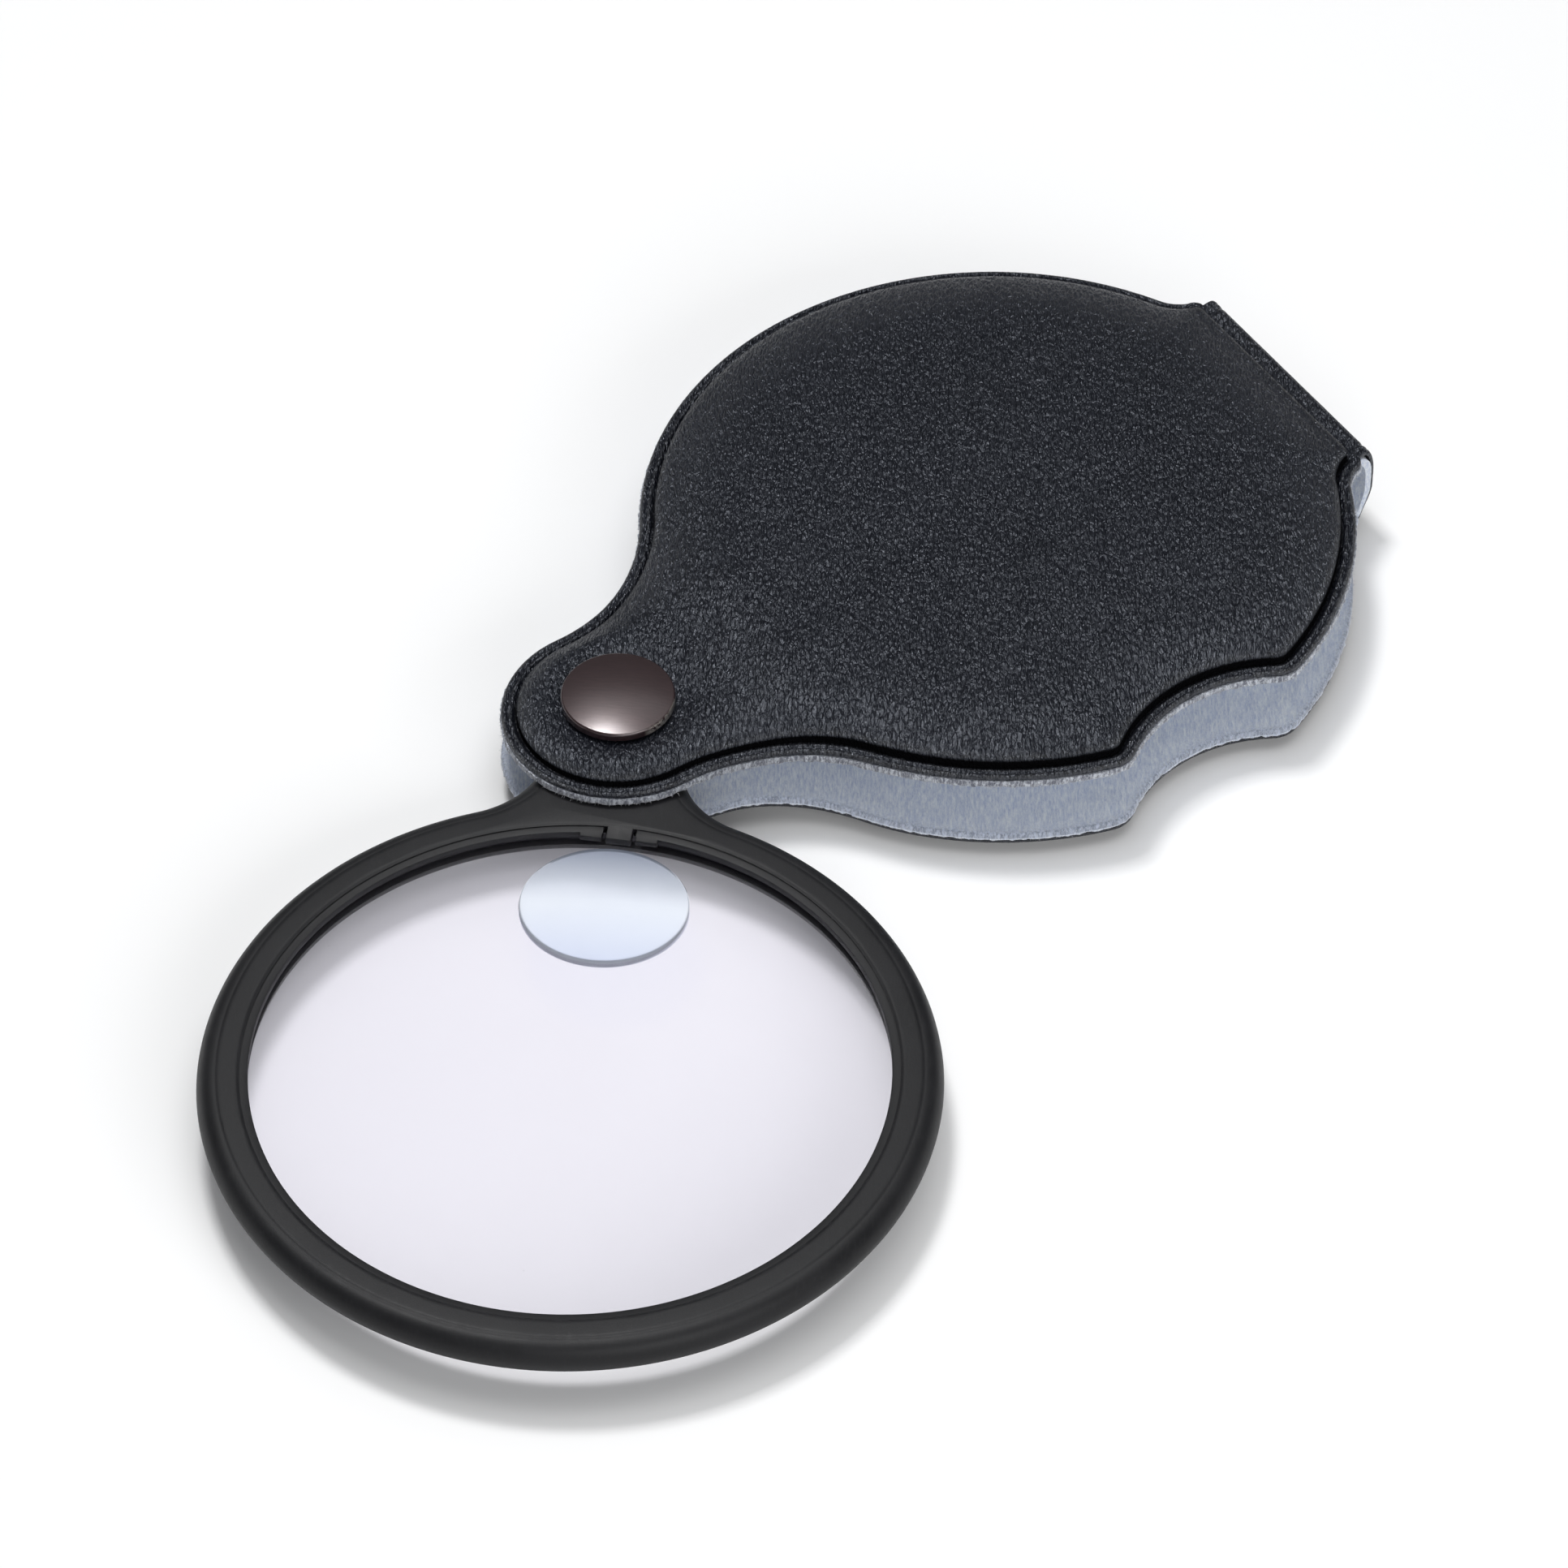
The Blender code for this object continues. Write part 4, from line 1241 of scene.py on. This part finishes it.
def segment_painted_reflection(tree):
    """The bifocal lens's painted reflection, as a share and a colour: a pale cast, darker beside the
    pivot, bluer away from it, and a painted dark line at its rim where light is bent.
    """
    cos, sin = math.cos(SWING), math.sin(SWING)
    plain = surface_mm(tree)
    up = measure(tree, "DOT_PRODUCT", plain, (-cos, -sin, 0.0))
    up = total(tree, up, ARM - BIFOCAL_OFFSET)
    x, y = bifocal_centre()
    middle = (x * cos - y * sin, x * sin + y * cos, MID_Z)
    outward = measure(tree, "DISTANCE", plain, middle)
    shade = blend(tree, ramp(tree, up, 0.0, BIFOCAL_R * 0.9), (0.90, 0.95, 1.0), (0.36, 0.41, 0.52))
    shade = blend(tree, ramp(tree, up, -BIFOCAL_R * 0.1, -BIFOCAL_R), shade, (0.60, 0.68, 0.86))
    rim = ramp(tree, outward, BIFOCAL_R + 0.02, BIFOCAL_R + 0.22)
    return total(tree, 0.30, product(tree, rim, 0.4)), blend(tree, rim, shade, (0.10, 0.11, 0.13))


def acrylic_material(name, tint, passed, with_painted_reflection):
    """Clear acrylic with a faint smear and dust.

    Light on its way to other things goes straight through, and keeps the share in `passed`. So does
    light that would be trapped inside, but with the tint.
    """
    made, tree, bsdf = new_material(name)
    plain = surface_mm(tree)
    smear = noise_at(tree, plain, 0.10, 4.0, 0.6)
    dust = product(tree, lint(tree, plain, 6.0, 0.07), 0.5)
    put(tree, bsdf, Base_Color=tint, IOR=1.49, Transmission_Weight=1.0,
        Roughness=ramp(tree, smear, 0.35, 0.70, 0.34, 0.42), Specular_IOR_Level=0.5)
    colour = (*tint, 1.0)
    inputs = {"Color": colour, "Roughness": 0.0, "IOR": 1.49}
    glass = node(tree, "BsdfRefraction", inputs).outputs[0]
    body = mix_shaders(tree, 0.14, glass, bsdf.outputs[0])
    # The bifocal gets a painted reflection: a diffuse layer in painted shades.
    if with_painted_reflection:
        share, painted_reflection_colour = segment_painted_reflection(tree)
        painted_reflection = node(tree, "BsdfDiffuse", {"Color": painted_reflection_colour}).outputs[0]
        body = mix_shaders(tree, share, body, painted_reflection)
    speck = node(tree, "BsdfDiffuse", {"Color": (0.6, 0.6, 0.6, 1.0)}).outputs[0]
    body = mix_shaders(tree, dust, body, speck)
    shape = node(tree, "NewGeometry").outputs
    facing = measure(tree, "DOT_PRODUCT", shape["Incoming"], shape["Normal"])
    oblique = total(tree, facing, LEAST_EXIT, "LESS_THAN")
    straight = node(tree, "BsdfTransparent", {"Color": colour}).outputs[0]
    body = mix_shaders(tree, product(tree, shape["Backfacing"], oblique), body, straight)
    path = node(tree, "LightPath").outputs
    unbent = total(tree, path["Is Shadow Ray"], path["Is Diffuse Ray"], "MAXIMUM")
    clear = node(tree, "BsdfTransparent", {"Color": (*passed, 1.0)}).outputs[0]
    show(tree, mix_shaders(tree, unbent, body, clear))
    return made


def hidden_material(name, dark, light, roughness, metallic=0.0):
    """The finish of a piece inside the case: two mottled shades and a fine tooth."""
    made, tree, bsdf = new_material(name)
    plain = surface_mm(tree)
    mottle = noise_at(tree, plain, 1.4, 5.0, 0.65)
    shade = blend(tree, ramp(tree, mottle, 0.35, 0.65), dark, light)
    put(tree, bsdf, Base_Color=shade, Roughness=roughness, Metallic=metallic,
        Normal=bump(tree, noise_at(tree, plain, 6.0), 0.02, 0.6))
    return made


def floor_material():
    """A pale floor that keeps its brightness away from the lights."""
    made, tree, bsdf = new_material("pale_floor")
    from_middle = measure(tree, "LENGTH", surface_mm(tree))
    glow = ramp(tree, from_middle, 220.0, 900.0, 0.0, 0.85)
    put(tree, bsdf, Base_Color=(0.96, 0.96, 0.96), Roughness=0.9, Specular_IOR_Level=0.1,
        Emission_Color=(1.0, 1.0, 1.0), Emission_Strength=glow)
    return made


def finish_hidden_nodes():
    """Gives the CAD nodes that still show a finish by the words in their names."""
    looks = {
        "board": hidden_material("greyboard", (0.26, 0.23, 0.19), (0.38, 0.35, 0.29), 0.9),
        "foam": hidden_material("foam", (0.13, 0.13, 0.14), (0.21, 0.21, 0.22), 0.95),
        "rivet": hidden_material("plated_steel", (0.50, 0.48, 0.45), (0.66, 0.64, 0.60), 0.32, 1.0),
        "washer": hidden_material("nylon", (0.68, 0.67, 0.63), (0.80, 0.79, 0.75), 0.5),
    }
    for name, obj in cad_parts.items():
        for word, look in looks.items():
            if word in name and not obj.hide_render:
                obj.data.materials.clear()
                obj.data.materials.append(look)


# Stage

def add_area_light(name, place, target, size, power):
    light = bpy.data.lights.new(name, "AREA")
    light.shape = "RECTANGLE"
    light.size, light.size_y = size
    light.energy = power
    obj = bpy.data.objects.new(name, light)
    obj.location = place
    obj.rotation_euler = (Vector(target) - Vector(place)).to_track_quat("-Z", "Y").to_euler()
    bpy.context.scene.collection.objects.link(obj)
    return obj


def from_viewer(right, away, up):
    """A point so many metres to the object's right, beyond it and above it, as the viewer sees it."""
    ahead = Vector((-math.cos(VIEW_BEARING), -math.sin(VIEW_BEARING), 0))
    rightward = Vector((ahead.y, -ahead.x, 0))
    return Vector(VIEW_TARGET) * MM + rightward * right + ahead * away + Vector((0, 0, up))


def build_world():
    """A dim surround, brighter overhead, with a white backdrop for the camera."""
    world = bpy.data.worlds.new("studio")
    bpy.context.scene.world = world
    world.use_nodes = True
    tree = world.node_tree
    surround = tree.nodes["Background"]
    surround.inputs["Color"].default_value = (0.95, 0.97, 1.0, 1.0)
    sky = node(tree, "TexCoord").outputs["Generated"]
    up = node(tree, "SeparateXYZ", {0: sky}).outputs["Z"]
    tree.links.new(ramp(tree, up, 0.2, 0.9, 0.06, 0.31), surround.inputs["Strength"])
    backdrop = node(tree, "Background", {"Color": (1, 1, 1, 1), "Strength": 1.0})
    seen = node(tree, "LightPath").outputs["Is Camera Ray"]
    show(tree, mix_shaders(tree, seen, surround.outputs[0], backdrop.outputs[0]))


def build_stage():
    bm = bmesh.new()
    bmesh.ops.create_grid(bm, x_segments=2, y_segments=2, size=1500)
    floor = mesh_object("floor", bm, None, None, floor_material())

    build_world()
    centre = from_viewer(0, 0, 0)
    key = add_area_light("key", from_viewer(-0.10, 0.17, 0.63), centre, (0.13, 0.13), 1.95)
    key.visible_transmission = False
    add_area_light("overhead", from_viewer(0.05, -0.04, 0.66), centre, (0.40, 0.46), 1.2)
    add_area_light("far card", from_viewer(0.0, 0.41, 0.62), centre, (0.44, 0.18), 0.15)
    add_area_light("fill", from_viewer(0.26, -0.55, 0.32), centre, (0.60, 0.30), 2.1)

    camera = bpy.data.cameras.new("camera")
    camera.lens = VIEW_LENS
    camera.sensor_width = 36
    camera.clip_start = 0.01
    obj = bpy.data.objects.new("camera", camera)
    flat, up = math.cos(VIEW_ELEVATION), math.sin(VIEW_ELEVATION)
    back = Vector((flat * math.cos(VIEW_BEARING), flat * math.sin(VIEW_BEARING), up))
    obj.location = (Vector(VIEW_TARGET) + back * VIEW_DISTANCE) * MM
    obj.rotation_euler = (-back).to_track_quat("-Z", "Y").to_euler()
    bpy.context.scene.collection.objects.link(obj)
    bpy.context.scene.camera = obj
    bpy.context.scene.view_settings.view_transform = "Standard"


LEATHER = leather_material()
FELT = felt_material()
FIBRE = fibre_material()
PLASTIC = plastic_material()
LACQUER = lacquer_material()
ACRYLIC = acrylic_material("clear_acrylic", (0.97, 0.965, 0.985), (0.94, 0.935, 0.955), False)
SEGMENT = acrylic_material("clear_segment", (0.96, 0.98, 1.0), (0.98, 0.985, 1.0), True)
build_skin()
build_lining()
build_edge_fibres()
build_rivet()
build_frame()
build_hoop()
build_lenses()
finish_hidden_nodes()
build_stage()
